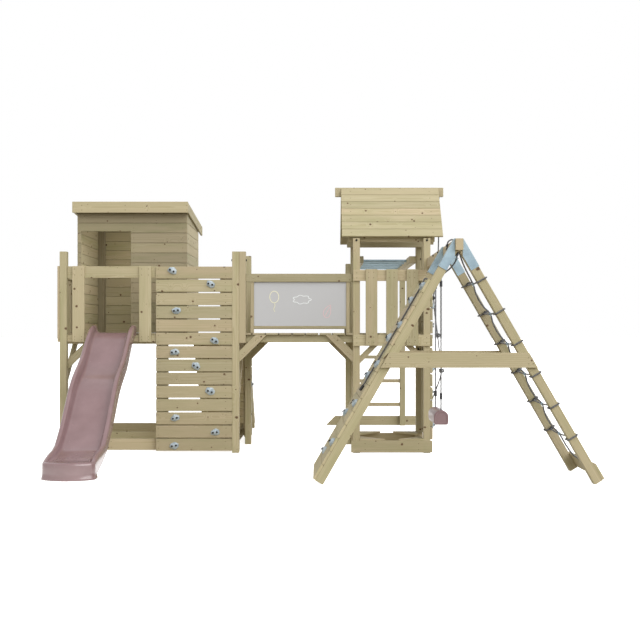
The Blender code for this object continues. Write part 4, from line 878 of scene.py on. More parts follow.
def skin(rings: Sequence[Sequence[Vector]], closed: bool = True, capped: bool = True) -> Mesh:
    """Stretch a skin over a row of rings: a grid whose points are moved onto them.

    Args:
        rings: Rings of equal count, in order.
        closed: True if a ring's last point joins its first.
        capped: True to close the two ends.

    Returns:
        The mesh, with a map named lay that runs round in U and along, in metres, in V.
    """
    made = bmesh.new()
    columns = len(rings[0]) if closed else len(rings[0]) - 1
    bmesh.ops.create_grid(made, x_segments=columns, y_segments=len(rings) - 1, size=1.0)
    made.verts.ensure_lookup_table()
    width = columns + 1
    middles = [sum(ring, Vector()) / len(ring) for ring in rings]
    run = [0.0]
    for before, after in zip(middles, middles[1:]):
        run.append(run[-1] + (after - before).length)
    lay = made.loops.layers.uv.new("lay")
    for face in made.faces:
        for loop in face.loops:
            row, column = divmod(loop.vert.index, width)
            loop[lay].uv = (column / columns, run[row])
    for vert in made.verts:
        row, column = divmod(vert.index, width)
        vert.co = rings[row][column % len(rings[row])]
    if closed:
        bmesh.ops.remove_doubles(made, verts=made.verts, dist=1e-6)
    if capped:
        bmesh.ops.holes_fill(made, edges=[edge for edge in made.edges if edge.is_boundary], sides=0)
    bmesh.ops.recalc_face_normals(made, faces=made.faces)
    return made


def smooth_route(route: Sequence[Place | Vector], spacing: float) -> list[Vector]:
    """Find evenly spaced points on a smooth curve through a route's points.

    Args:
        route: The points of the route.
        spacing: Distance between the points found.

    Returns:
        The points, with both ends of the route.
    """
    corners = [Vector(point) for point in route]
    padded = [2 * corners[0] - corners[1], *corners, 2 * corners[-1] - corners[-2]]
    fine = []
    for a, b, c, d in zip(padded, padded[1:], padded[2:], padded[3:]):
        for step in range(40):
            t = step / 40
            fine.append(0.5 * (2 * b + (c - a) * t + (2 * a - 5 * b + 4 * c - d) * t * t
                               + (3 * b - a - 3 * c + d) * t * t * t))
    fine.append(corners[-1])
    total = sum((after - before).length for before, after in zip(fine, fine[1:]))
    count = max(2, round(total / spacing))
    places = [fine[0]]
    walked = 0.0
    for before, after in zip(fine, fine[1:]):
        step = (after - before).length
        while len(places) < count and walked + step >= total * len(places) / count:
            places.append(before.lerp(after, (total * len(places) / count - walked) / step))
        walked += step
    places.append(fine[-1])
    return places


@dataclass
class Strand:
    """A laid rope along a path: round, with the hollows between its strands wound round it."""

    path: list[Vector]
    radius: float
    strands: int = 3
    turn_every: float = 0.045
    hollow: float = 0.15
    sides: int = 18
    loop: bool = False

    def frames(self) -> list[tuple[Vector, Vector]]:
        """Carry one pair of cross directions along the path without twist."""
        count = len(self.path)
        found = []
        up = None
        for step in range(count):
            before = self.path[step - 1] if (step or self.loop) else self.path[0]
            after = self.path[(step + 1) % count] if (step < count - 1 or self.loop) else self.path[-1]
            run = (after - before).normalized()
            if up is None:
                up = run.cross(Y if abs(run.y) < 0.9 else X).normalized()
            up = (up - run * up.dot(run)).normalized()
            found.append((up.copy(), run.cross(up)))
        return found

    def mesh(self) -> Mesh:
        """Skin the rope, with flat ends."""
        rings = []
        walked = 0.0
        frames = self.frames()
        for step, (centre, (one, two)) in enumerate(zip(self.path, frames)):
            if step:
                walked += (centre - self.path[step - 1]).length
            wind = ROUND * walked / self.turn_every
            ring = []
            for side in range(self.sides):
                angle = ROUND * side / self.sides
                dip = 0.5 - 0.5 * math.cos(self.strands * (angle - wind / self.strands))
                reach = self.radius * (1 - self.hollow * dip)
                ring.append(centre + one * (math.cos(angle) * reach) + two * (math.sin(angle) * reach))
            rings.append(ring)
        if self.loop:
            rings.append([point.copy() for point in rings[0]])
        made = skin(rings, capped=not self.loop)
        if self.loop:
            bmesh.ops.remove_doubles(made, verts=made.verts, dist=1e-6)
            bmesh.ops.recalc_face_normals(made, faces=made.faces)
        return made


def turned(profile: Sequence[Point], base: Vector, axis: Vector, sides: int = 20) -> Mesh:
    """Spin a profile of radii and heights round an axis.

    Args:
        profile: Radius and height of each point, from one pole to the other.
        base: Where height zero lies.
        axis: Direction of the axis.
        sides: Steps of the spin.

    Returns:
        The closed mesh.
    """
    made = bmesh.new()
    line = [made.verts.new((radius, 0.0, height)) for radius, height in profile]
    edges = [made.edges.new(pair) for pair in zip(line, line[1:])]
    bmesh.ops.spin(made, geom=[*line, *edges], cent=(0.0, 0.0, 0.0), axis=(0.0, 0.0, 1.0), angle=ROUND,
                   steps=sides, use_merge=True)
    bmesh.ops.remove_doubles(made, verts=made.verts, dist=1e-6)
    turn = Vector(axis).to_track_quat("Z", "Y").to_matrix().to_4x4()
    bmesh.ops.transform(made, matrix=Matrix.Translation(base) @ turn, verts=made.verts)
    bmesh.ops.recalc_face_normals(made, faces=made.faces)
    return made


def barrel(radius: float, height: float, ease: float = 0.002) -> list[Point]:
    """Profile of a round bar with eased rims, from pole to pole."""
    return [(0.0, 0.0), (radius - ease, 0.0), (radius, ease), (radius, height - ease),
            (radius - ease, height), (0.0, height)]


def circle(centre: Vector, one: Vector, two: Vector, radius: float, count: int) -> list[Vector]:
    """Points of a circle in the plane of two directions, from the first one on."""
    turns = (ROUND * step / count for step in range(count))
    return [centre + one * (radius * math.cos(turn)) + two * (radius * math.sin(turn)) for turn in turns]


@dataclass
class ClimbingHolds:
    """Cast holds on one face, each held by two black bolts."""

    name: str
    places: Sequence[Place]
    out: Vector
    along: Vector
    leans: Sequence[float] = ()
    length: float = 0.045
    width: float = 0.035
    height: float = 0.028
    bolt_reach: float = 0.0205

    def build(self, site: Site, slot: str) -> None:
        """Make the holds and their bolts.

        Args:
            site: The site.
            slot: Slot of the wall that carries them.
        """
        lumps = bmesh.new()
        bolts = Fasteners(self.name + "_hold_bolts", 0.0105, 0.005, 14)
        pick = random.Random(self.name)
        side = self.out.cross(self.along).normalized()
        for number, place in enumerate(self.places):
            lean = math.radians(self.leans[number]) if self.leans else pick.uniform(-0.7, 0.7)
            long = self.along * math.cos(lean) + side * math.sin(lean)
            short = self.out.cross(long)
            merge(lumps, self.lump(Vector(place), long, short, number))
            for way in (-1, 1):
                seat = Vector(place) + long * (way * self.bolt_reach) + self.out * (self.height + 0.0015)
                bolts.drive(seat, self.out)
        site.settle(self.name + "_holds", lumps, site.finishes.resin, slot, crease=SOFT_CREASE)
        bolts.settle(site, site.finishes.black, slot)

    def lump(self, place: Vector, long: Vector, short: Vector, number: int) -> Mesh:
        """Shape one hold: a stretched lump of flat facets with softened corners, flat at its back.

        Args:
            place: Middle of its foot.
            long: Its long direction.
            short: Its short direction.
            number: Its number, which picks its facets.

        Returns:
            The hold's mesh.
        """
        made = bmesh.new()
        bmesh.ops.create_icosphere(made, subdivisions=4, radius=1.0)
        pick = random.Random(f"{self.name}_{number}")
        facets = [(Vector((0.0, 0.0, 1.0)), 1.0)]
        for row, (tilt, count) in enumerate(((8, 6), (48, 5))):
            for step in range(count):
                turn = ROUND * (step + pick.uniform(-0.28, 0.28) + 0.5 * row) / count
                level = math.radians(tilt + pick.uniform(-7, 7))
                facets.append((Vector((math.cos(turn) * math.cos(level), math.sin(turn) * math.cos(level),
                                       math.sin(level))), pick.uniform(0.84, 1.08)))
        for vert in made.verts:
            way = vert.co.normalized()
            flat = Vector((way.x, way.y, max(way.z, 0.0)))
            pull = sum(max(flat.dot(facing), 0.0) ** 14 / reach ** 14 for facing, reach in facets)
            spot = flat * (max(pull, 1e-9) ** (-1 / 14))
            ripple = 1.0 + 0.03 * noise.noise(way * 4.0 + Vector((number * 3.1, 8.4, 2.2)))
            rise = -0.08 if way.z < -0.05 else spot.z
            vert.co = (place + long * (spot.x * ripple * self.length) + short * (spot.y * ripple * self.width)
                       + self.out * (rise * ripple * self.height))
        bmesh.ops.recalc_face_normals(made, faces=made.faces)
        return made


@dataclass
class LeftPlatform:
    """Posts, deck, ground boards and fences that carry the playhouse."""

    site: Site
    fence: Point = (1.110, 1.870)
    deck_boards: int = 14
    slat_gap: float = 0.013
    front_slats: Sequence[float] = (-2.479, -1.810)
    side_slats: int = 11
    wall_left: float = -1.641

    def build(self) -> None:
        """Make every part of the platform."""
        self.posts()
        self.deck()
        self.ground_boards()
        self.front_fence()
        self.side_fence()

    def posts(self) -> None:
        """Make the four posts, with the black caps of the bolts through the front right one."""
        right = LEFT_IN - POST
        back = LEFT_BACK - POST
        for name, x, y in (("left_front_left_post", LEFT_OUT, 0.0), ("left_front_right_post", right, 0.0),
                           ("left_rear_left_post", LEFT_OUT, back), ("left_rear_right_post", right, back)):
            stack = Timber(name)
            stack.board((x, y, 0.0), (x + POST, y + POST, LEFT_POST_TOP), Axis.Z, 0.004)
            stack.settle(self.site)
        caps = Fasteners("left_post_bolt_caps", 0.012, 0.009, 16)
        caps.drive((right, POST / 2, 1.930), -X)
        caps.drive((LEFT_IN + 0.0663, POST / 2, 1.930), X)
        caps.settle(self.site, self.site.finishes.black, "left_front_right_post")

    def deck(self) -> None:
        """Make the deck boards, the beams under them and the three knee braces."""
        stack = Timber("left_deck")
        x0 = LEFT_OUT + POST + GAP
        x1 = LEFT_IN - POST - GAP
        bay = ROW_BEHIND + POST + GAP
        pitch = (LEFT_IN - LEFT_OUT + self.slat_gap) / self.deck_boards
        for row in range(self.deck_boards):
            low = LEFT_OUT + row * pitch
            high = low + pitch - self.slat_gap
            at_post = low < x0 or high > x1
            front = POST + GAP if at_post else 0.0457
            back = LEFT_BACK - POST - GAP if at_post else LEFT_BACK
            plan = [(low, front), (high, front), (high, back), (low, back)]
            if row == self.deck_boards - 1:
                plan[2:3] = [(high, bay), (high - BATTEN_DEPTH, bay), (high - BATTEN_DEPTH, back)]
            stack.sawn(plan, Axis.Z, DECK_UNDER, DECK_TOP, Y)
            for y in (0.09, 0.722, LEFT_BACK - 0.09):
                for x in (low + 0.022, high - 0.045):
                    stack.screw((x, y, DECK_TOP), Z)
        back = LEFT_BACK - POST
        stack.board((x0, 0.046, BEAM_UNDER), (x1, 0.091, DECK_UNDER), Axis.X)
        stack.board((x0 + 0.01, 0.70, BEAM_UNDER + 0.002), (x1 - 0.01, 0.745, DECK_UNDER), Axis.X)
        stack.board((x0, back, BEAM_UNDER), (x1, back + JOIST, DECK_UNDER), Axis.X)
        stack.board((LEFT_OUT, POST + GAP, BEAM_UNDER), (LEFT_OUT + JOIST, back - GAP, DECK_UNDER), Axis.Y)
        stack.board((x1, bay, BEAM_UNDER), (LEFT_IN - BATTEN_DEPTH, back - GAP, DECK_UNDER), Axis.Y)
        stack.sawn(brace(x0, BEAM_UNDER + 0.004, 0.840, 1), Axis.Y, 0.052, 0.084, X + Z)
        stack.sawn(brace(POST + GAP, BEAM_UNDER + 0.004, 0.600, 1), Axis.X, LEFT_OUT + 0.003,
                   LEFT_OUT + 0.038, Y + Z)
        stack.sawn(brace(POST + GAP, DECK_UNDER, 0.480, 1), Axis.X, LEFT_IN - 0.038, LEFT_IN - 0.003, Y + Z)
        stack.settle(self.site)

    def ground_boards(self) -> None:
        """Make the boards that tie the posts just above the ground."""
        stack = Timber("left_base_frame")
        top = WALL_FOOT + 0.113
        front = POST + GAP
        back = LEFT_BACK - POST - GAP
        inset = POST + 0.01
        stack.board((LEFT_OUT, front, WALL_FOOT), (LEFT_IN, front + BOARD, top), Axis.X)
        stack.board((LEFT_OUT + inset, ROW_BEHIND, WALL_FOOT), (LEFT_IN - inset, ROW_BEHIND + BOARD, top),
                    Axis.X)
        stack.board((LEFT_OUT, back - BOARD, WALL_FOOT), (LEFT_IN, back, top + 0.028), Axis.X)
        for x in (LEFT_OUT + POST + GAP, LEFT_IN - POST - GAP - BOARD):
            stack.board((x, front + BOARD, WALL_FOOT), (x + BOARD, back - BOARD, top - 0.001), Axis.Y)
        for x in (LEFT_OUT + 0.11, LEFT_OUT + 0.50, LEFT_OUT + 1.0, LEFT_IN - 0.30):
            for z in (WALL_FOOT + 0.028, top - 0.028):
                stack.screw((x, front, z), -Y)
        stack.settle(self.site)

    def front_fence(self) -> None:
        """Make the two slats beside the slide and the rails behind them."""
        stack = Timber("left_front_fence")
        low, top = self.fence
        x0 = LEFT_OUT + POST + GAP
        x1 = self.wall_left - GAP
        stack.board((x0, BOARD, top - 0.118), (x1, JOIST, top - 0.001), Axis.X)
        stack.board((x0, BOARD, low + 0.001), (x1, JOIST, DECK_UNDER), Axis.X)
        for x in self.front_slats:
            stack.board((x, 0.0, low), (x + 0.121, BOARD, top), Axis.Z)
            for spot_x in (x + 0.026, x + 0.095):
                for z in (low + 0.022, low + 0.052, top - 0.090, top - 0.030):
                    stack.screw((spot_x, 0.0, z), -Y)
        stack.settle(self.site)

    def side_fence(self) -> None:
        """Make the slats down the left side and the rail between the posts."""
        stack = Timber("left_side_fence")
        low, top = self.fence
        face = LEFT_OUT - GAP
        stack.board((face, POST + GAP, top - 0.118), (LEFT_OUT + 0.02, LEFT_BACK - POST - GAP, top - 0.001),
                    Axis.Y)
        pitch = (LEFT_BACK - BOARD_WIDTH) / (self.side_slats - 1)
        for row in range(self.side_slats):
            start = row * pitch
            stack.board((face - BOARD, start, low), (face, start + BOARD_WIDTH, top), Axis.Z)
            for y in (start + 0.028, start + BOARD_WIDTH - 0.028):
                for z in (low + 0.024, low + 0.055, top - 0.090, top - 0.030):
                    stack.screw((face - BOARD, y, z), -X)
        stack.settle(self.site)


def brace(corner: float, top: float, low: float, way: int, width: float = POST) -> list[Point]:
    """Outline of a 45 degree knee brace between a post and a beam.

    Args:
        corner: Where the post's face stands across.
        top: Height of the beam's underside.
        low: Height of the brace's foot on the post.
        way: 1 if it leans right or back, -1 if it leans left.
        width: Width of the brace.

    Returns:
        Its four corners, across and up.
    """
    drop = width * math.sqrt(2)
    return [(corner, low), (corner, low + drop), (corner + way * (top - low - drop), top),
            (corner + way * (top - low), top)]


@dataclass
class BoardedWall:
    """Climbing wall of level boards with an open gap above each, on two upright battens behind."""

    site: Site
    name: str
    out: Vector
    ends: Point
    face: float
    foot: float
    count: int
    battens: Sequence[Sequence[float]]
    batten_depth: float
    hold_places: Sequence[Point]
    screw_places: Sequence[float] = ()
    leans: Sequence[float] = ()

    def spot(self, along: float, off: float, z: float) -> Vector:
        """Place a point by its distance along the wall, off the boards' inner face, and height."""
        if self.out == X:
            return Vector((self.face + off, along, z))
        return Vector((along, self.face - off, z))

    def build(self) -> None:
        """Make the boards, battens, screws and holds."""
        stack = Timber(self.name, 0.88)
        run = Axis.Y if self.out == X else Axis.X
        pick = random.Random(self.name + "_play")
        for row in range(self.count):
            low = self.foot + row * BOARD_PITCH
            play = pick.uniform(-0.0012, 0.0012)
            self.box(stack, self.ends, (0.0, BOARD + play * 0.3), (low, low + BOARD_WIDTH), run)
            for along in self.screw_places:
                for z in (low + 0.026, low + BOARD_WIDTH - 0.026):
                    stack.screw(self.spot(along + pick.uniform(-0.004, 0.004), BOARD, z), self.out)
        top = self.foot + self.count * BOARD_PITCH - 0.016
        for start, end, low, *high in self.battens:
            self.box(stack, (start, end), (-self.batten_depth, 0.0), (low, high[0] if high else top), Axis.Z)
        stack.settle(self.site)
        places = [tuple(self.spot(along, BOARD, z)) for along, z in self.hold_places]
        ClimbingHolds(self.name, places, self.out, run.unit, self.leans).build(self.site, self.name)

    def box(self, stack: Timber, ends: Point, offs: Point, heights: Point, along: Axis) -> None:
        """Add a board by its ends, its distances off the inner face and its heights."""
        a = self.spot(ends[0], offs[0], heights[0])
        b = self.spot(ends[1], offs[1], heights[1])
        low = tuple(min(pair) for pair in zip(a, b))
        high = tuple(max(pair) for pair in zip(a, b))
        stack.board(low, high, along)


def front_wall(site: Site) -> BoardedWall:
    """The climbing wall beside the slide, with ten holds."""
    left, right = LeftPlatform.wall_left, LEFT_IN - POST - GAP
    battens = ((left + 0.001, left + 0.001 + BOARD_WIDTH, WALL_FOOT + 0.004),
               (right - 0.001 - BOARD_WIDTH, right - 0.001, WALL_FOOT + 0.004))
    spots = ((-1.478, 1.822), (-1.094, 1.687), (-1.437, 1.424), (-1.054, 1.125), (-1.457, 1.011),
             (-1.240, 0.867), (-1.098, 0.617), (-1.447, 0.351), (-1.049, 0.208), (-1.457, 0.074))
    leans = (-27, -15, 9, -28, 12, -30, -20, 12, 9, 10)
    return BoardedWall(site, "front_climbing_wall", -Y, (left, right), BOARD, WALL_FOOT, 14, battens,
                       JOIST - BOARD, spots, (left + 0.022, right - 0.063), leans)


def bridge_side_wall(site: Site) -> BoardedWall:
    """The climbing wall on the right side of the left platform, behind the bridge."""
    start = ROW_BEHIND + POST + GAP
    back = LEFT_BACK - POST - GAP
    battens = ((back - 0.073, back - BOARD - GAP, WALL_FOOT + 0.01), (start + 0.001, start + 0.05, 0.1625))
    spots = ((0.95, 0.30), (1.22, 0.62), (0.98, 0.72), (1.24, 1.02), (1.00, 1.42), (1.22, 1.68))
    return BoardedWall(site, "left_side_climbing_wall", X, (start, LEFT_BACK), LEFT_IN + GAP, WALL_FOOT, 14,
                       battens, BATTEN_DEPTH, spots, (start + 0.025, LEFT_BACK - 0.035))


def tower_side_wall(site: Site) -> BoardedWall:
    """The climbing wall on the right side of the tower, from the sandbox to the rail."""
    battens = ((0.125, 0.175, 0.139), (TOWER_SIZE - 0.175, TOWER_SIZE - 0.125, 0.139, 2.118))
    spots = ((0.10, 0.27), (0.48, 0.42), (0.17, 0.60), (0.52, 0.76), (0.10, 0.84), (0.45, 1.12),
             (0.18, 1.28), (0.06, 1.47), (0.50, 1.56), (0.22, 1.72))
    return BoardedWall(site, "tower_side_climbing_wall", X, (0.0, TOWER_SIZE), TOWER_RIGHT + GAP, 0.135, 13,
                       battens, BATTEN_DEPTH, spots, (0.035, TOWER_SIZE - 0.035))


@dataclass
class RearRamp:
    """Sloping boarded ramp up to the back of the left platform."""

    site: Site
    angle: float = math.radians(50)
    boards: int = 11
    ends: Point = (-1.485, -0.822)

    def build(self) -> None:
        """Make the boards, the two stringers and the screws."""
        stack = Timber("rear_ramp")
        down = Vector((math.cos(self.angle), -math.sin(self.angle)))
        up = Vector((math.sin(self.angle), math.cos(self.angle)))
        start = Vector((LEFT_BACK + GAP, DECK_TOP))
        for row in range(self.boards):
            first = 0.030 + row * BOARD_PITCH
            last = first + BOARD_WIDTH
            corners = [start + down * a + up * n for a, n in (
                (first, -BOARD), (last, -BOARD), (last, 0.0), (first, 0.0))]
            stack.sawn([tuple(c) for c in corners], Axis.X, *self.ends, X)
            for x in (self.ends[0] + 0.062, self.ends[1] - 0.028):
                for a in (first + 0.028, last - 0.028):
                    spot = start + down * a
                    stack.screw((x, spot.x, spot.y), Vector((0.0, up.x, up.y)))
        tan = math.tan(self.angle)
        skin_drop = BOARD / math.cos(self.angle)
        drop = (BOARD + POST) / math.cos(self.angle)
        y0 = start.x
        outline = [(y0, DECK_TOP - skin_drop), (y0 + (DECK_TOP - skin_drop) / tan, 0.0),
                   (y0 + (DECK_TOP - drop) / tan, 0.0), (y0, DECK_TOP - drop)]
        for x in (self.ends[0] + 0.040, self.ends[1] - 0.005 - JOIST):
            stack.sawn(outline, Axis.X, x, x + JOIST, Vector((0.0, down.x, down.y)))
        stack.settle(self.site)


@dataclass
class Playhouse:
    """House of lapped boards under a single-pitch roof that falls to the back."""

    site: Site
    sides: Point = (-2.536, -1.390)
    front: float = 0.410
    back: float = 1.300
    wall: float = 0.020
    pitch: float = 0.1045
    door: Point = (-2.498, -1.978)
    door_top: float = 2.263
    roof_sides: Point = (-2.567, -1.3675)
    roof_run: Point = (0.320, 1.480)
    roof_tops: Point = (2.556, 2.430)
    fascia_drop: float = 0.115
    roof_clear: float = 0.0235
    roof_board: float = 0.021
    roof_rows: int = 10

    def roof_at(self, y: float) -> float:
        """Height of the roof's upper face at a depth."""
        share = (y - self.roof_run[0]) / (self.roof_run[1] - self.roof_run[0])
        return self.roof_tops[0] + share * (self.roof_tops[1] - self.roof_tops[0])

    def build(self) -> None:
        """Make the walls and the roof."""
        self.front_wall()
        self.back_wall()
        for name, x in (("house_left_wall", self.sides[0]), ("house_right_wall", self.sides[1] - self.wall)):
            self.side_wall(name, x)
        self.roof()

    def rows(self, top: float) -> list[Point]:
        """Heights of the boards of a wall, from the deck to its top."""
        base = DECK_TOP + GAP
        found = []
        low = base
        while low < top - 0.001:
            high = low + self.pitch
            if top - high < 0.02:
                high = top
            found.append((low + SEAM / 2, min(high, top) - SEAM / 2))
            low = high
        return found

    def front_wall(self) -> None:
        """Make the front boards, cut out for the doorway."""
        # Its boards are 30 percent darker than the common ones: partly a browner, rosier wood and partly painted shade
        # under the roof's overhang.
        stack = Timber("house_front_wall", 0.70, 0.6)
        left, right = self.sides
        door_left, door_right = self.door
        y0, y1 = self.front, self.front + self.wall
        for low, high in self.rows(self.roof_at(y1) - self.roof_clear):
            if high <= self.door_top:
                stack.board((left, y0, low), (door_left, y1, high), Axis.X)
                stack.board((door_right, y0, low), (right, y1, high), Axis.X)
            elif low < self.door_top:
                stack.sawn([(left, low), (door_left, low), (door_left, self.door_top),
                            (door_right, self.door_top), (door_right, low), (right, low), (right, high),
                            (left, high)], Axis.Y, y0, y1, X)
            else:
                stack.board((left, y0, low), (right, y1, high), Axis.X)
            for x in (door_right + 0.030, right - 0.045):
                stack.screw((x, y0, (low + high) / 2), -Y)
        foot, head = DECK_TOP + 0.004, self.roof_at(y1) - 0.028
        lintel = self.door_top + SEAM
        sheet = [(left + SEAM, foot), (door_left - SEAM, foot), (door_left - SEAM, lintel),
                 (door_right + SEAM, lintel), (door_right + SEAM, foot), (right - SEAM, foot),
                 (right - SEAM, head), (left + SEAM, head)]
        stack.tongue(sheet, Axis.Y, y0 + TONGUE_IN, y1 - TONGUE_IN, X)
        stack.settle(self.site)

    def back_wall(self) -> None:
        """Make the back boards."""
        stack = Timber("house_back_wall")
        left, right = self.sides
        head = self.roof_at(self.back) - self.roof_clear
        for low, high in self.rows(head):
            stack.board((left, self.back - self.wall, low), (right, self.back, high), Axis.X)
        foot, head = DECK_TOP + 0.004, head - 0.004
        sheet = [(left + SEAM, foot), (right - SEAM, foot), (right - SEAM, head), (left + SEAM, head)]
        stack.tongue(sheet, Axis.Y, self.back - self.wall + TONGUE_IN, self.back - TONGUE_IN, X)
        stack.settle(self.site)

    def side_wall(self, name: str, x: float) -> None:
        """Make the boards of one side wall, the top ones sawn along the roof."""
        stack = Timber(name)
        y0 = self.front + self.wall + GAP
        y1 = self.back - self.wall - GAP
        tops = (self.roof_at(y0) - self.roof_clear, self.roof_at(y1) - self.roof_clear)
        if x == self.sides[0]:
            # The inner corner post is drawn at 0.62 of the common lightness: painted shade in the back corner of the
            # playhouse.
            stack.shade = 0.62
            inner = x + self.wall
            stack.board((inner, self.back - 0.095, DECK_TOP + GAP), (inner + POST, y1, tops[1] - 0.001),
                        Axis.Z)
            stack.shade = 1.0
        for low, high in self.rows(tops[0]):
            if high <= tops[1]:
                stack.board((x, y0, low), (x + self.wall, y1, high), Axis.Y)
                continue
            fall = (tops[0] - tops[1]) / (y1 - y0)
            cut_high = y0 + (tops[0] - high) / fall
            outline = [(y0, low)]
            if low < tops[1]:
                outline += [(y1, low), (y1, tops[1])]
            else:
                outline.append((y0 + (tops[0] - low) / fall, low))
            if cut_high > y0 + 0.001:
                outline.append((cut_high, high))
            outline.append((y0, high))
            stack.sawn(outline, Axis.X, x, x + self.wall, Y)
        foot = DECK_TOP + 0.004
        sheet = [(y0 + SEAM, foot), (y1 - SEAM, foot), (y1 - SEAM, tops[1] - 0.005),
                 (y0 + SEAM, tops[0] - 0.005)]
        stack.tongue(sheet, Axis.X, x + TONGUE_IN, x + self.wall - TONGUE_IN, Y)
        stack.settle(self.site)

    def roof(self) -> None:
        """Make the roof boards, the fascia and the two barge boards."""
        stack = Timber("house_roof")
        x0, x1 = self.roof_sides
        y0, y1 = self.roof_run
        board = self.roof_board
        start = y0 + board
        step = (y1 - start) / self.roof_rows
        for row in range(self.roof_rows):
            a, b = start + row * step, start + (row + 1) * step
            outline = [(a, self.roof_at(a) - 0.020), (b, self.roof_at(b) - 0.020), (b, self.roof_at(b)),
                       (a, self.roof_at(a))]
            stack.sawn(outline, Axis.X, x0 + board, x1 - board, X)
        top = self.roof_tops[0] + 0.005
        stack.board((x0, y0, top - self.fascia_drop), (x1, start, top), Axis.X)
        barge = [(start, self.roof_at(start) - 0.100), (start, self.roof_at(start) + 0.002),
                 (y1 - 0.001, self.roof_tops[1] + 0.002), (y1 - 0.001, self.roof_tops[1] - 0.100)]
        slope = Vector((0.0, y1 - y0, self.roof_tops[1] - self.roof_tops[0]))
        for x in (x0 + 0.0005, x1 - board):
            stack.sawn(barge, Axis.X, x, x + board - 0.0005, slope)
        for x in (x0 + 0.10, x0 + 0.55, x1 - 0.42, x1 - 0.012):
            for z in (top - 0.040, top - 0.088):
                stack.screw((x, y0, z), -Y)
        stack.settle(self.site)


@dataclass
class Slide:
    """Blow-moulded wavy slide: a bed between two rounded walls, and a toe that stands on the ground."""

    site: Site
    centre: float = -2.060
    width: float = 0.440
    bed: float = 0.350
    shell: float = 0.012
    top_end: float = 0.019
    toe_line: float = -1.640
    toe_bow: float = 0.078
    lip: float = 0.143
    route: Sequence[Point] = (
        (0.000, 1.208), (-0.070, 1.200), (-0.160, 1.150), (-0.290, 1.030), (-0.420, 0.905),
        (-0.540, 0.820), (-0.660, 0.750), (-0.780, 0.660), (-0.920, 0.515), (-1.060, 0.370),
        (-1.190, 0.262), (-1.275, 0.202), (-1.330, 0.180), (-1.430, 0.156), (-1.550, 0.141), (-1.650, 0.131))

    def section(self, rise: float, skirt: float) -> list[Point]:
        """Outline of the moulding across its run: across, and up from the bed.

        Args:
            rise: Height of the side walls.
            skirt: Depth of the skirts below the bed.

        Returns:
            Points of the closed outline, from the left foot over both walls.
        """
        half = self.width / 2
        bed = self.bed / 2
        radius = (half - bed) / 2
        crown = ((-half - bed) / 2 + 0.001, rise - radius)
        left = [(-half, -skirt), (-half, -skirt * 0.4), (-half + 0.0005, min(rise * 0.7, crown[1]) - 0.002)]
        for step in range(7):
            turn = math.pi - math.radians(150) * step / 6
            left.append((crown[0] + radius * math.cos(turn), crown[1] + radius * math.sin(turn)))
        fillet = 0.034
        foot = -bed + 0.004
        for step in range(6):
            turn = math.pi + math.radians(90) * (step + 0.4) / 5.4
            left.append((foot + fillet * (1 + math.cos(turn)), fillet * (1 + math.sin(turn))))
        left.append((-bed * 0.45, -0.0012))
        right = [(-a, b) for a, b in reversed(left)]
        inner = half - self.shell
        under = [(inner, -skirt), (inner, -0.014), (-inner, -0.014), (-inner, -skirt)]
        return [*left, (0.0, -0.0018), *right, *under]

    def build(self) -> None:
        """Make the moulding."""
        places = smooth_route([(0.0, y, z) for y, z in self.route], 0.022)
        count = len(places)
        rings = []
        for step, place in enumerate(places):
            run = (places[min(step + 1, count - 1)] - places[max(step - 1, 0)]).normalized()
            up = Z.copy() if step in (0, count - 1) else Vector((0.0, run.z, -run.y))
            share = step / (count - 1)
            middle = Vector((self.centre, place.y + self.top_end, place.z))
            rise = 0.070 + 0.045 * math.sin(math.pi * min(share * 1.15, 1.0)) - 0.020 * share
            fade = min(max((middle.y - self.toe_line) / 0.220, 0.0), 1.0)
            rise = 0.012 + (rise - 0.012) * fade * (2 - fade)
            skirt = 0.030 + 0.060 * min(max((-1.270 - middle.y) / 0.300, 0.0), 1.0)
            rings.append([middle + X * a + up * b for a, b in self.section(rise, skirt)])
        made = skin(rings)
        merge(made, self.toe())
        self.site.settle("slide_moulding", made, self.site.finishes.slide, "slide", ("slide",),
                         crease=math.radians(50))

    def toe(self) -> Mesh:
        """Shape the toe: a block bowed in plan, with a rounded lip and a rim along the ground."""
        half = self.width / 2 + 0.003
        rings = []
        for height, inset in ((0.0, 0.001), (0.003, -0.003), (0.015, -0.003), (0.019, 0.001), (0.060, 0.003),
                              (self.lip - 0.022, 0.004), (self.lip - 0.012, 0.006), (self.lip - 0.004, 0.011),
                              (self.lip, 0.020), (self.lip - 0.001, 0.030)):
            plan = self.toe_plan(half - inset, inset)
            rings.append([Vector((self.centre + x, y, height)) for x, y in plan])
        return skin(rings)

    def toe_plan(self, half: float, inset: float) -> list[Point]:
        """Outline of the toe seen from above, drawn in by a distance: straight behind, bowed in front."""
        corner = 0.030
        back = self.toe_line + 0.060
        plan = [(-half * (1 - step / 4), back) for step in range(9)]
        for step in range(33):
            across = half * math.cos(math.pi * step / 32)
            short = max(abs(across) - half + corner, 0.0)
            bow = self.toe_bow * (1 - (across / half) ** 2)
            plan.append((across, self.toe_line - bow - math.sqrt(max(corner ** 2 - short ** 2, 0.0)) + 0.010
                         + max(inset, 0.0)))
        return plan


def stroke(points: Sequence[Point], width: float, face: float, rise: float) -> Mesh:
    """Lay a thin printed line round a closed path on a panel's front.

    Args:
        points: Path, across and up.
        width: Width of the line.
        face: Depth of the panel's front.
        rise: Thickness of the ink.

    Returns:
        The line's mesh.
    """
    rings = []
    count = len(points)
    for step in range(count + 1):
        before = Vector(points[(step - 1) % count])
        after = Vector(points[(step + 1) % count])
        run = (after - before).normalized()
        side = Vector((-run.y, run.x)) * (width / 2)
        middle = Vector(points[step % count])
        a, b = middle + side, middle - side
        rings.append([Vector((a.x, face, a.y)), Vector((b.x, face, b.y)),
                      Vector((b.x, face - rise, b.y)), Vector((a.x, face - rise, a.y))])
    made = skin(rings, capped=False)
    bmesh.ops.remove_doubles(made, verts=made.verts, dist=1e-6)
    bmesh.ops.recalc_face_normals(made, faces=made.faces)
    return made


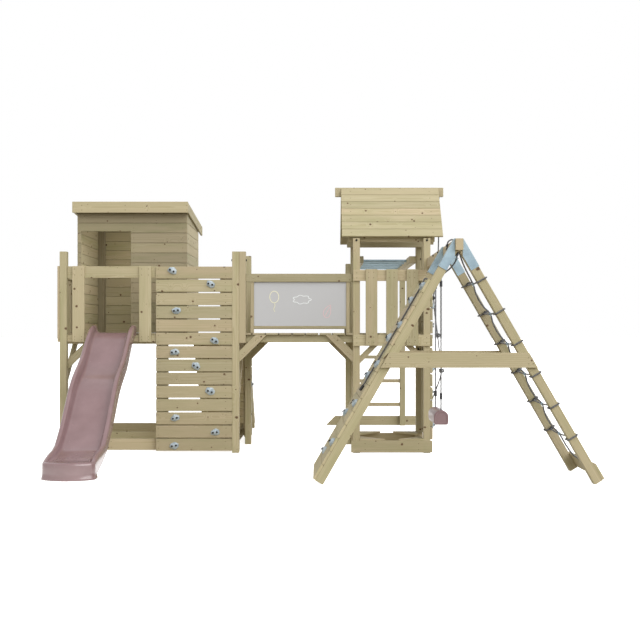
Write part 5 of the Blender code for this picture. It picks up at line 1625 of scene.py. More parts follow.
def oval(centre: Point, wide: float, high: float, lobes: int = 0, wave: float = 0.0,
         steps: int = 72) -> list[Point]:
    """Points of an oval whose edge may swing in and out in lobes."""
    found = []
    for step in range(steps):
        turn = ROUND * step / steps
        reach = 1 + wave * math.cos(lobes * turn)
        found.append((centre[0] + wide * reach * math.cos(turn), centre[1] + high * reach * math.sin(turn)))
    return found


@dataclass
class Bridge:
    """Level bridge between the platforms, with a guard and a frosted panel on each side."""

    site: Site
    short_post: float = 0.066
    rear_post: float = 0.054
    cleat: float = 0.012
    rail: Point = (1.712, 1.794)
    low_rail: Point = (1.243, 1.270)
    upright: float = 0.034
    panel: float = 0.006
    beam_foot: float = 1.105
    brace_foot: float = 0.915
    left: float = LEFT_IN + GAP
    right: float = TOWER_LEFT - GAP

    def build(self) -> None:
        """Make the frames, the deck, the guards and the panels."""
        self.front_frame()
        self.rear_frame()
        self.deck()
        start = self.left + self.short_post + GAP
        self.guard("bridge_front", 0.0125, (start, self.right), (self.left + 0.1467, self.right - 0.067),
                   self.upright)
        end = self.right - self.rear_post - GAP
        self.guard("bridge_rear", ROW_BEHIND + 0.0125, (start, end), (start + self.cleat, end - self.cleat),
                   self.cleat)

    def front_frame(self) -> None:
        """Make the short post beside the platform, the front beam and its two knee braces."""
        stack = Timber("bridge_front_frame", 0.86)
        left, right, short = self.left, self.right, self.short_post
        y0, y1 = 0.036, 0.0695
        foot = self.beam_foot
        stack.board((left, 0.0, foot - 0.005), (left + short, POST, LEFT_POST_TOP), Axis.Z, 0.004)
        stack.board((left + short, y0, foot), (right, y1, DECK_UNDER - GAP), Axis.X)
        for x, way in ((left, 1), (right, -1)):
            stack.sawn(brace(x, DECK_UNDER - GAP, self.brace_foot - 0.010, way, 0.080), Axis.Y, 0.0005,
                       y0 - GAP, X * way + Z)
            for across, z in ((0.030, 0.985), (0.052, 1.006), (0.165, 1.122), (0.190, 1.150)):
                stack.screw((x + way * across, 0.0005, z), -Y)
        stack.settle(self.site)

    def rear_frame(self) -> None:
        """Make the two rear posts, the rear beam and its two knee braces."""
        stack = Timber("bridge_rear_frame")
        left, right, short = self.left, self.right, self.short_post
        y0 = ROW_BEHIND + 0.0125
        y1 = y0 + JOIST
        foot = self.beam_foot
        inner = right - self.rear_post
        stack.board((left, ROW_BEHIND, 0.0), (left + short, ROW_BEHIND + POST, LEFT_POST_TOP + 0.015), Axis.Z,
                    0.004)
        stack.board((inner, ROW_BEHIND, 0.0), (right, ROW_BEHIND + POST, LEFT_POST_TOP - 0.07), Axis.Z, 0.004)
        stack.board((left + short, y0, foot), (inner, y1, DECK_UNDER - GAP), Axis.X)
        for x, way in ((left + short, 1), (inner, -1)):
            stack.sawn(brace(x, foot, self.brace_foot, way), Axis.Y, y0 + 0.002, y1 - 0.002, X * way + Z)
        stack.settle(self.site)

    def deck(self) -> None:
        """Make the deck boards and the two battens under them."""
        stack = Timber("bridge_deck", 0.80)
        left = self.left + self.short_post + GAP
        back_post = self.right - self.rear_post
        edges = [left, left + 0.055]
        while edges[-1] < self.right - 0.03:
            low = edges[-1] + 0.013
            edges += [low, min(low + 0.121, self.right)]
        for low, high in zip(edges[::2], edges[1::2]):
            back = ROW_BEHIND - GAP if high > back_post - GAP else ROW_BEHIND + POST
            stack.board((low, 0.0, DECK_UNDER), (high, back, DECK_TOP), Axis.Y)
            for y in (0.235, 0.535):
                for x in (low + 0.022, high - 0.022):
                    stack.screw((x, y, DECK_TOP), Z)
        for y in (0.20, 0.50):
            stack.board((left + 0.002, y, 1.120), (self.right - 0.002, y + POST, DECK_UNDER), Axis.X)
        stack.settle(self.site)

    def guard(self, name: str, y0: float, ends: Point, pane_ends: Point, upright: float) -> None:
        """Make one guard with its panel.

        Args:
            name: Start of the names of its pieces.
            y0: Depth of its front.
            ends: Both ends of its rail.
            pane_ends: Both ends of its panel.
            upright: Width of an upright.
        """
        stack = Timber(name + "_guard", 0.80)
        y1 = y0 + JOIST
        left, right = ends
        pane_left, pane_right = pane_ends
        stack.board((left, y0, self.rail[0]), (right, y1, self.rail[1]), Axis.X)
        for x in (pane_left - upright, pane_right):
            stack.board((x, y0 + 0.008, DECK_TOP + GAP), (x + upright, y1 - 0.008, self.rail[0]), Axis.Z)
        stack.board((pane_left, y0 + 0.010, self.low_rail[0]), (pane_right, y1 - 0.010, self.low_rail[1]),
                    Axis.X)
        stack.settle(self.site)
        middle = (y0 + y1) / 2
        pane = bmesh.new()
        low = Vector((pane_left + GAP, middle - self.panel / 2, self.low_rail[1] + GAP))
        high = Vector((pane_right - GAP, middle + self.panel / 2, self.rail[0] - GAP))
        bmesh.ops.create_cube(pane, size=1.0, matrix=Matrix.LocRotScale((low + high) / 2, None, high - low))
        soften(pane, pane.edges[:], 0.001)
        slot = name + "_panel"
        self.site.settle(slot + "_sheet", pane, self.site.finishes.acrylic, slot, (slot,))
        self.motifs(name, low, high)

    def motifs(self, name: str, low: Vector, high: Vector) -> None:
        """Print three plain outlines on a panel: a balloon, a cloud and a leaf.

        Args:
            name: Start of the panel's name.
            low: Its lowest corner.
            high: Its highest corner.
        """
        wide, tall = high.x - low.x, high.z - low.z

        def spot(across: float, up: float) -> Point:
            """Place a point by its shares of the panel."""
            return (low.x + across * wide, low.z + up * tall)

        balloon = spot(0.22, 0.66)
        leaf = spot(0.80, 0.34)
        string = [(balloon[0] + 0.006 * math.sin(step), balloon[1] - 0.066 - 0.012 * step)
                  for step in range(8)]
        string += [(x + 0.003, z) for x, z in reversed(string)]
        vein = [(leaf[0] - 0.030, leaf[1] - 0.050), (leaf[0] + 0.022, leaf[1] + 0.040),
                (leaf[0] + 0.025, leaf[1] + 0.038), (leaf[0] - 0.027, leaf[1] - 0.052)]
        blade = [(leaf[0] + 0.045 * math.sin(t) * math.cos(0.55) * math.sin(t / 2)
                  + 0.055 * math.cos(t) * 0.5,
                  leaf[1] + 0.060 * math.cos(t) - 0.030 * math.sin(t) * math.sin(t / 2))
                 for t in (ROUND * step / 60 for step in range(60))]
        prints = (
            ("balloon", PrintedInk("cream_ink", "#e6e3c6", "#dcd9bb"),
             ((oval(balloon, 0.045, 0.058), 0.007), (string, 0.004))),
            ("cloud", PrintedInk("white_ink", "#e4e8ea", "#d9dde0"),
             ((oval(spot(0.52, 0.60), 0.085, 0.040, 7, 0.12), 0.007),)),
            ("leaf", PrintedInk("rose_ink", "#d5b9bd", "#cbafb3"), ((blade, 0.007), (vein, 0.004))),
        )
        for label, ink, strokes in prints:
            made = bmesh.new()
            for points, width in strokes:
                merge(made, stroke(points, width, low.y + GAP, 0.0008))
            finish = bpy.data.materials.get(ink.name) or ink.build()
            self.site.settle(f"{name}_panel_{label}", made, finish, name + "_panel")


@dataclass
class Tower:
    """Square tower with a gable roof, a railing in front and a sandbox under its deck."""

    site: Site
    post_top: float = 2.150
    ridge_top: float = 2.712
    ridge_depth: float = 0.093
    ridge_ends: Point = (0.157, 1.283)
    roof_ends: Point = (0.219, 1.231)
    eaves: Point = (-0.012, 2.169)
    roof_boards: int = 7
    eaves_beam: Point = (2.120, 2.210)
    eaves_ends: Point = (0.290, 1.156)

    def build(self) -> None:
        """Make every part of the tower."""
        self.posts()
        self.deck()
        self.railing()
        self.sandbox()
        self.roof_slope("roof_front_slope", -1)
        self.roof_slope("roof_rear_slope", 1)
        self.roof_frame()

    def posts(self) -> None:
        """Make the four posts."""
        far, back = TOWER_RIGHT - POST, TOWER_SIZE - POST
        for name, x, y in (("tower_front_left_post", TOWER_LEFT, 0.0), ("tower_front_right_post", far, 0.0),
                           ("tower_rear_left_post", TOWER_LEFT, back), ("tower_rear_right_post", far, back)):
            stack = Timber(name)
            stack.board((x, y, 0.0), (x + POST, y + POST, self.post_top), Axis.Z, 0.004)
            stack.settle(self.site)
        caps = Fasteners("tower_bolt_caps", 0.011, 0.008, 16)
        for x, z in ((TOWER_LEFT + 0.035, 2.128), (far + 0.035, 2.128)):
            caps.drive((x, 0.0, z), -Y)
        for x, z in ((1.073, 2.138), (1.090, 1.998), (1.060, 1.028)):
            caps.drive((x, back, z), -Y)
        caps.settle(self.site, self.site.finishes.black, "tower_front_left_post")

    def deck(self) -> None:
        """Make the deck boards, the two beams and the two knee braces."""
        stack = Timber("tower_deck")
        x0, x1 = TOWER_LEFT + POST + GAP, TOWER_RIGHT - POST - GAP
        back = TOWER_SIZE - POST - GAP
        pitch = (TOWER_SIZE + 0.013) / 6
        for row in range(6):
            low = TOWER_LEFT + row * pitch
            high = low + pitch - 0.013
            at_post = low < x0 or high > x1
            high -= BATTEN_DEPTH if row == 5 else 0.0
            start, end = (POST + GAP, back) if at_post else (0.0, TOWER_SIZE)
            stack.board((low, start, DECK_UNDER), (high, end, DECK_TOP), Axis.Y)
            for y in (0.095, back - 0.022):
                for x in (low + 0.024, high - 0.024):
                    stack.screw((x, y, DECK_TOP), Z)
        for y in (POST + GAP, back - JOIST):
            stack.board((TOWER_LEFT, y, BEAM_UNDER), (TOWER_RIGHT, y + JOIST, DECK_UNDER), Axis.X)
        for x, way in ((x0, 1), (x1, -1)):
            stack.sawn(brace(x, BEAM_UNDER, 0.893, way, 0.055), Axis.Y, 0.025, POST + GAP, X * way + Z)
        stack.settle(self.site)

    def railing(self) -> None:
        """Make the top rail, the deck fascia and the three slats in front of them."""
        stack = Timber("tower_railing")
        x0, x1 = TOWER_LEFT + 0.001, TOWER_RIGHT - 0.005
        for low, high in ((1.720, 1.830), (1.070, 1.184)):
            stack.board((x0, -GAP - BOARD, low), (x1, -GAP, high), Axis.X)
            for x in (x0 + 0.036, x1 - 0.036):
                for z in (low + 0.030, high - 0.030):
                    stack.screw((x, -GAP - BOARD, z), -Y)
        for x in (0.455, 0.659, 0.862):
            stack.board((x, -2 * BOARD, 1.074), (x + 0.116, -BOARD - GAP, 1.835), Axis.Z)
            for z in (1.105, 1.160, 1.750, 1.805):
                stack.screw((x + 0.030, -2 * BOARD, z), -Y)
                stack.screw((x + 0.080, -2 * BOARD, z), -Y)
        stack.settle(self.site)

    def sandbox(self) -> None:
        """Make the sandbox boards and the seats in its corners."""
        stack = Timber("sandbox_frame")
        thick = 0.018
        front = -GAP - thick
        left, right = TOWER_LEFT + POST + GAP, TOWER_RIGHT - POST - GAP
        back = TOWER_SIZE - POST - GAP
        low, high = 0.008, 0.125
        stack.board((TOWER_LEFT - 0.0185, front, low), (TOWER_RIGHT + 0.0175, -GAP, high), Axis.X)
        stack.board((TOWER_LEFT, back - thick, low), (TOWER_RIGHT, back, high), Axis.X)
        for x in (left, right - thick):
            stack.board((x, -GAP, low + 0.001), (x + thick, back - thick, high - 0.001), Axis.Y)
        reach = 0.250
        y0, y1 = front + 0.002, back - 0.002
        for x, way_x in ((left + 0.0008, 1), (right - 0.0008, -1)):
            for y, way_y in ((y0, 1), (y1, -1)):
                corner = [(x, y), (x + way_x * (reach - 0.0008), y), (x, y + way_y * reach)]
                stack.sawn(corner, Axis.Z, high, high + thick, X * way_x - Y * way_y, 0.0025)
        for x in (left + 0.05, right - 0.05):
            for z in (low + 0.028, high - 0.028):
                stack.screw((x, front, z), -Y)
        stack.settle(self.site)

    def slope_line(self, side: int) -> tuple[Vector, Vector, Vector, float]:
        """Find a roof slope's upper edge, its run, its inward direction and its length."""
        middle = TOWER_SIZE / 2
        top = Vector((middle + side * (JOIST / 2 + GAP), self.ridge_top - 0.005))
        foot = Vector((middle + side * (middle - self.eaves[0]), self.eaves[1]))
        run = (foot - top).normalized()
        inward = Vector((-side * abs(run.y), -abs(run.x)))
        return top, run, inward, (foot - top).length

    def roof_slope(self, name: str, side: int) -> None:
        """Make one slope of seven boards. Side is -1 in front and 1 behind."""
        stack = Timber(name)
        top, run, inward, length = self.slope_line(side)
        pitch = length / self.roof_boards
        for row in range(self.roof_boards):
            a = top + run * (row * pitch + (SEAM / 2 if row else 0.0))
            b = top + run * ((row + 1) * pitch - (SEAM / 2 if row < self.roof_boards - 1 else 0.0))
            under = a + inward * 0.020
            if row == 0:
                under = Vector((a.x, under.y - run.y * (under.x - a.x) / run.x))
            outline = [tuple(a), tuple(b), tuple(b + inward * 0.020), tuple(under)]
            stack.sawn(outline, Axis.X, *self.roof_ends, X)
            middle = (a + b) / 2
            for x in (self.eaves_ends[0] + 0.023, self.eaves_ends[1] - 0.024):
                stack.screw((x, middle.x, middle.y), Vector((0.0, -inward.x, -inward.y)))
        corners = [top + run * 0.03, top + run * (length - 0.003)]
        sheet = [tuple(corners[0] + inward * 0.0075), tuple(corners[1] + inward * 0.0075),
                 tuple(corners[1] + inward * 0.0125), tuple(corners[0] + inward * 0.0125)]
        stack.tongue(sheet, Axis.X, self.roof_ends[0] + 0.003, self.roof_ends[1] - 0.003, X)
        stack.settle(self.site)

    def roof_frame(self) -> None:
        """Make the ridge beam, the eaves beams and the rafters."""
        middle = TOWER_SIZE / 2
        ridge = Timber("ridge_beam")
        ridge.board((self.ridge_ends[0], middle - JOIST / 2, self.ridge_top - self.ridge_depth),
                    (self.ridge_ends[1], middle + JOIST / 2, self.ridge_top), Axis.X)
        ridge.settle(self.site)
        stack = Timber("roof_frame")
        y0, y1 = POST + GAP, TOWER_SIZE - POST - GAP
        for y in (y0, y1 - JOIST):
            stack.board((self.eaves_ends[0], y, self.eaves_beam[0]), (self.eaves_ends[1], y + JOIST,
                        self.eaves_beam[1]), Axis.X)
        _, run, _, _ = self.slope_line(1)
        slope = abs(run.y / run.x)
        stretch = math.sqrt(1 + slope * slope)
        face = JOIST / 2 + GAP
        skin_drop, deep = 0.0215 * stretch, 0.0815 * stretch
        tie = self.eaves_beam[0] + 0.002

        def height(reach: float, drop: float) -> float:
            """Height of the slope at a reach from the ridge, less a drop."""
            return self.ridge_top - 0.005 - (reach - face) * slope - drop

        outer = middle - y0 - 0.001
        low_reach = min(face + (self.ridge_top - 0.005 - deep - tie) / slope, outer - 0.01)
        for x in (self.eaves_ends[0] + 0.001, self.eaves_ends[1] - JOIST - 0.001):
            for side in (-1, 1):
                corners = ((face, height(face, skin_drop)), (outer, height(outer, skin_drop)), (outer, tie),
                           (low_reach, tie), (face, height(face, deep)))
                outline = [(middle + side * reach, z) for reach, z in corners]
                stack.sawn(outline, Axis.X, x, x + JOIST, Vector((0.0, side, -slope)))
            under = self.ridge_top - self.ridge_depth - GAP
            stack.board((x + 0.002, middle - 0.05, under - 0.055), (x + JOIST - 0.002, middle + 0.05, under),
                        Axis.Y)
        stack.settle(self.site)


@dataclass
class MonkeyBars:
    """Two rails with steel rungs behind the tower, and the ladder at their far end."""

    site: Site
    rail_top: float = 2.030
    rail_depth: float = 0.075
    rail_front: float = 0.700
    ladder_y: float = 2.670
    rungs: int = 5
    first: float = 1.060
    pitch: float = 0.285
    rung_radius: float = 0.016
    rung_z: float = 2.005
    socket: float = 0.045

    def build(self) -> None:
        """Make the rails, the rungs and the ladder."""
        left, right = TOWER_LEFT + POST + GAP, TOWER_RIGHT - POST - GAP
        low, back, ease = self.rail_top - self.rail_depth, self.ladder_y + POST, 0.025
        outline = [(self.rail_front, low), (back, low), (back, self.rail_top),
                   (self.rail_front + ease, self.rail_top), (self.rail_front, self.rail_top - ease)]
        for name, x in (("monkey_bar_left_rail", left), ("monkey_bar_right_rail", right - POST)):
            stack = Timber(name)
            stack.sawn(outline, Axis.X, x, x + POST, Y)
            stack.settle(self.site)
        for number in range(1, self.rungs + 1):
            self.rung(number, left + POST, right - POST)
        self.ladder()

    def rung(self, number: int, left: float, right: float) -> None:
        """Make one round rung between the rails' inner faces."""
        y = self.first + (number - 1) * self.pitch
        length = right - left + 2 * self.socket
        node = f"monkey_bar_rung_{number}"
        made = turned(barrel(self.rung_radius, length), Vector((left - self.socket, y, self.rung_z)), X, 28)
        self.site.settle(node + "_tube", made, self.site.finishes.steel, node, (node,),
                         crease=HARD_CREASE)

    def ladder(self) -> None:
        """Make the ladder's posts, rungs and foot beam."""
        stack = Timber("end_ladder", 0.86)
        x0, x1 = TOWER_LEFT, TOWER_RIGHT
        y0, y1 = self.ladder_y, self.ladder_y + POST
        for x in (x0, x1 - POST):
            stack.board((x, y0, 0.0), (x + POST, y1, self.rail_top), Axis.Z, 0.004)
        for z in (0.273, 0.579, 0.888):
            stack.board((x0 + POST, y0 + 0.0125, z - JOIST / 2), (x1 - POST, y1 - 0.0125, z + JOIST / 2),
                        Axis.X)
        foot_left, foot_right, cut_off, top = 0.0845, 1.3505, 0.112, 0.120
        outline = [(foot_left, 0.0), (foot_right, 0.0), (foot_right, 0.006), (foot_right - cut_off, top),
                   (foot_left + cut_off, top), (foot_left, 0.006)]
        stack.sawn(outline, Axis.Y, y1, y1 + GAP + BOARD, X)
        for x in (x0 + 0.02, x0 + 0.05, x1 - 0.05, x1 - 0.02):
            stack.screw((x, y1 + GAP + BOARD, 0.060), Y)
        stack.settle(self.site)


def leg_point(side: int, along: float, y: float, off: float = 0.0) -> Vector:
    """Find a point beside an A-frame's leg.

    Args:
        side: -1 for the left leg, 1 for the right one.
        along: Distance up the leg from its foot.
        y: Depth.
        off: Distance off the leg's middle line, outwards.

    Returns:
        The point on the drawing.
    """
    c, s = math.cos(LEG_ANGLE), math.sin(LEG_ANGLE)
    reach = (APEX_Z - FOOT_Z) / math.tan(LEG_ANGLE) - c * along + s * off
    return Vector((FRAME_X + side * reach, y, FOOT_Z + s * along + c * off))


def leg_board(side: int, low: float, high: float, inner: float, outer: float) -> list[Point]:
    """Outline of a board across a leg, by its places up the leg and its distances off its middle line."""
    corners = [leg_point(side, along, 0.0, off) for along, off in (
        (low, inner), (low, outer), (high, outer), (high, inner))]
    return [(corner.x, corner.z) for corner in corners]


def leg_way(side: int) -> Vector:
    """Unit vector up a leg."""
    return Vector((-side * math.cos(LEG_ANGLE), 0.0, math.sin(LEG_ANGLE)))


def leg_out(side: int) -> Vector:
    """Unit vector out of a leg's outer face."""
    return Vector((side * math.sin(LEG_ANGLE), 0.0, math.cos(LEG_ANGLE)))


@dataclass
class AFrames:
    """Two A-frames with a beam to the tower, a rock wall on the left legs and a foot board on the right."""

    site: Site
    crossbar: Point = (0.925, 1.045)
    beam_front: float = -1.930
    arm: float = 0.270
    sheet: float = 0.004
    rock_foot: float = 0.004
    rock_first: float = 0.1385
    rock_pitch: float = 0.121
    rock_boards: int = 14
    rock_holds: Sequence[tuple[int, float]] = (
        (0, 0.42), (1, 0.10), (3, 0.46), (4, 0.10), (6, 0.42), (7, 0.10), (9, 0.46), (10, 0.10),
        (12, 0.42), (13, 0.10))

    def build(self) -> None:
        """Make every part of the A-frames."""
        self.frame("front_a_frame", FRONT_FRAME_Y, True)
        self.frame("rear_a_frame", REAR_FRAME_Y, False)
        self.bracket("front_apex_bracket", FRONT_FRAME_Y)
        self.bracket("rear_apex_bracket", REAR_FRAME_Y)
        self.beam()
        self.rock_wall()
        self.foot_board()

    def leg_outline(self, side: int) -> list[Point]:
        """Outline of one leg: a square-cut foot with a small flat, and a notch beside the beam."""
        half = POST / 2
        slope = math.tan(LEG_ANGLE)
        c, s = math.cos(LEG_ANGLE), math.sin(LEG_ANGLE)
        notch = BEAM_FOOT - GAP
        beam_side = BEAM_WIDTH / 2 + GAP
        middle = (APEX_Z - FOOT_Z) / slope
        inner = (middle - half * s, FOOT_Z - half * c)
        points = [(middle + half * s, FOOT_Z + half * c), (inner[0] - inner[1] * s / c, 0.0),
                  (inner[0] + inner[1] / slope, 0.0), ((APEX_Z - notch) / slope - half / s, notch),
                  (beam_side, notch), (beam_side, LEG_TOP), ((APEX_Z - LEG_TOP) / slope + half / s, LEG_TOP)]
        return [(FRAME_X + side * x, z) for x, z in points]

    def frame(self, name: str, y0: float, bar_front: bool) -> None:
        """Make one A-frame: its legs, its crossbar and the screws of the bar.

        Args:
            name: Node that it stands for.
            y0: Depth of the legs' front.
            bar_front: True if the crossbar is on the legs' front.
        """
        stack = Timber(name)
        y1 = y0 + POST
        for side in (-1, 1):
            stack.shade = 0.84 if side == 1 and not bar_front else 1.0
            stack.sawn(self.leg_outline(side), Axis.Y, y0, y1, leg_way(side), 0.004)
        stack.shade = 1.0
        low, high = self.crossbar
        off = POST / 2 - 0.0005
        ends = []
        for z in (low, high):
            reach = (APEX_Z - z) / math.tan(LEG_ANGLE) + off / math.sin(LEG_ANGLE)
            ends.append((FRAME_X - reach, FRAME_X + reach))
        outline = [(ends[0][0], low), (ends[0][1], low), (ends[1][1], high), (ends[1][0], high)]
        thick = 0.028
        start, end = (y0 - thick, y0 - GAP) if bar_front else (y1 + GAP, y1 + thick)
        stack.sawn(outline, Axis.Y, start, end, X)
        face, out = (start, -Y) if bar_front else (end, Y)
        for x in (ends[0][0] + 0.040, ends[0][0] + 0.075, ends[0][1] - 0.075, ends[0][1] - 0.040):
            for z in (low + 0.032, high - 0.040):
                stack.screw((x, face, z), out)
        stack.settle(self.site)

    def bracket(self, name: str, y0: float) -> None:
        """Make one folded saddle: cheeks over the legs' faces, strips over their backs, and its bolts.

        Args:
            name: Node that it stands for.
            y0: Depth of the legs' front.
        """
        made = bmesh.new()
        half = POST / 2
        sheet = self.sheet
        c, s, slope = math.cos(LEG_ANGLE), math.sin(LEG_ANGLE), math.tan(LEG_ANGLE)
        top = BEAM_TOP + GAP + sheet
        off = half + GAP + sheet
        end_z = BEAM_TOP - self.arm * s
        end = (APEX_Z - end_z) / slope
        side_x = BEAM_WIDTH / 2 + GAP
        upper = ((APEX_Z - top) / slope + off / s, top)
        outer = (end + off * s, end_z + off * c)
        inner = (end - half * s, end_z - half * c)
        cheek = [(side_x, top), upper, outer, inner, (side_x, APEX_Z - slope * (side_x + half / s))]
        front, back = y0 - GAP - sheet, y0 + POST + GAP
        strip = [upper, outer, (outer[0] - sheet * s, outer[1] - sheet * c),
                 (upper[0] - sheet / s * 0.9, upper[1] - sheet * 0.1)]
        for side in (-1, 1):
            shape = [(FRAME_X + side * x, z) for x, z in cheek]
            for start in (front, back):
                merge(made, plate(shape, Axis.Y, start, start + sheet, 0.0014))
            shape = [(FRAME_X + side * x, z) for x, z in strip]
            merge(made, plate(shape, Axis.Y, front + 0.001, back + sheet - 0.001, 0.0008))
        lid = [(FRAME_X - upper[0], top - sheet), (FRAME_X + upper[0], top - sheet),
               (FRAME_X + upper[0] - 0.001, top), (FRAME_X - upper[0] + 0.001, top)]
        merge(made, plate(lid, Axis.Y, front + 0.001, back + sheet - 0.001, 0.0008))
        self.site.settle(name + "_saddle", made, self.site.finishes.steel, name, (name,))
        bolts = Fasteners(name + "_bolts", 0.0085, 0.005, 14)
        for side in (-1, 1):
            for along in (0.075, 0.165, 0.235):
                z = BEAM_TOP - along * s
                x = FRAME_X + side * (APEX_Z - z) / slope
                bolts.drive((x, back + sheet, z), Y)
        bolts.settle(self.site, self.site.finishes.black, name)

    def beam(self) -> None:
        """Make the beam and the black caps of the bolts through it."""
        stack = Timber("swing_beam", 1.06)
        half = BEAM_WIDTH / 2
        stack.board((FRAME_X - half, self.beam_front, BEAM_FOOT), (FRAME_X + half, -GAP, BEAM_TOP), Axis.Y)
        stack.settle(self.site)
        caps = Fasteners("swing_beam_caps", 0.011, 0.008, 16)
        for y in (-0.850, -0.520):
            caps.drive((FRAME_X - half, y, 1.930), -X)
        caps.settle(self.site, self.site.finishes.black, "swing_beam")

    def rock_wall(self) -> None:
        """Make the boards on the left legs, their screws and holds."""
        stack = Timber("rock_wall")
        inner = POST / 2 + GAP
        outer = inner + BOARD
        edges = [self.rock_foot, *(self.rock_first + row * self.rock_pitch
                                   for row in range(self.rock_boards + 1))]
        back = REAR_FRAME_Y + POST
        for low, high in zip(edges, edges[1:]):
            start = low + (SEAM / 2 if low > edges[0] else 0.0)
            end = high - (SEAM / 2 if high < edges[-1] else 0.0)
            stack.sawn(leg_board(-1, start, end, inner, outer), Axis.Y, FRONT_FRAME_Y, back, Y)
            for y in (FRONT_FRAME_Y + 0.035, back - 0.035):
                for along in (low + 0.030, high - 0.030):
                    stack.screw(leg_point(-1, along, y, outer), leg_out(-1))
        sheet = leg_board(-1, edges[0] + SEAM, edges[-1] - SEAM, inner + TONGUE_IN, outer - TONGUE_IN)
        stack.tongue(sheet, Axis.Y, FRONT_FRAME_Y + SEAM, back - SEAM, Y)
        stack.settle(self.site)
        places = []
        for row, across in self.rock_holds:
            along = self.rock_first + (row + 0.5) * self.rock_pitch
            places.append(tuple(leg_point(-1, along, FRONT_FRAME_Y + across, outer)))
        ClimbingHolds("rock_wall", places, leg_out(-1), Y).build(self.site, "rock_wall")

    def foot_board(self) -> None:
        """Make the board across the right legs that ties down the net."""
        stack = Timber("net_foot_board")
        inner = POST / 2 + GAP
        back = REAR_FRAME_Y + POST
        low, high = self.rock_foot, 0.140
        stack.sawn(leg_board(1, low, high, inner, inner + BOARD), Axis.Y, FRONT_FRAME_Y, back, Y)
        for y in (FRONT_FRAME_Y + 0.035, back - 0.035):
            for along in (low + 0.035, high - 0.035):
                stack.screw(leg_point(1, along, y, inner + BOARD), leg_out(1))
        stack.settle(self.site)


def plate(outline: Sequence[Point], push: Axis, start: float, end: float, ease: float) -> Mesh:
    """Push an outline along an axis and round its edges by the ease."""
    made = pushed(outline, push, start, end)
    soften(made, made.edges[:], ease)
    return made


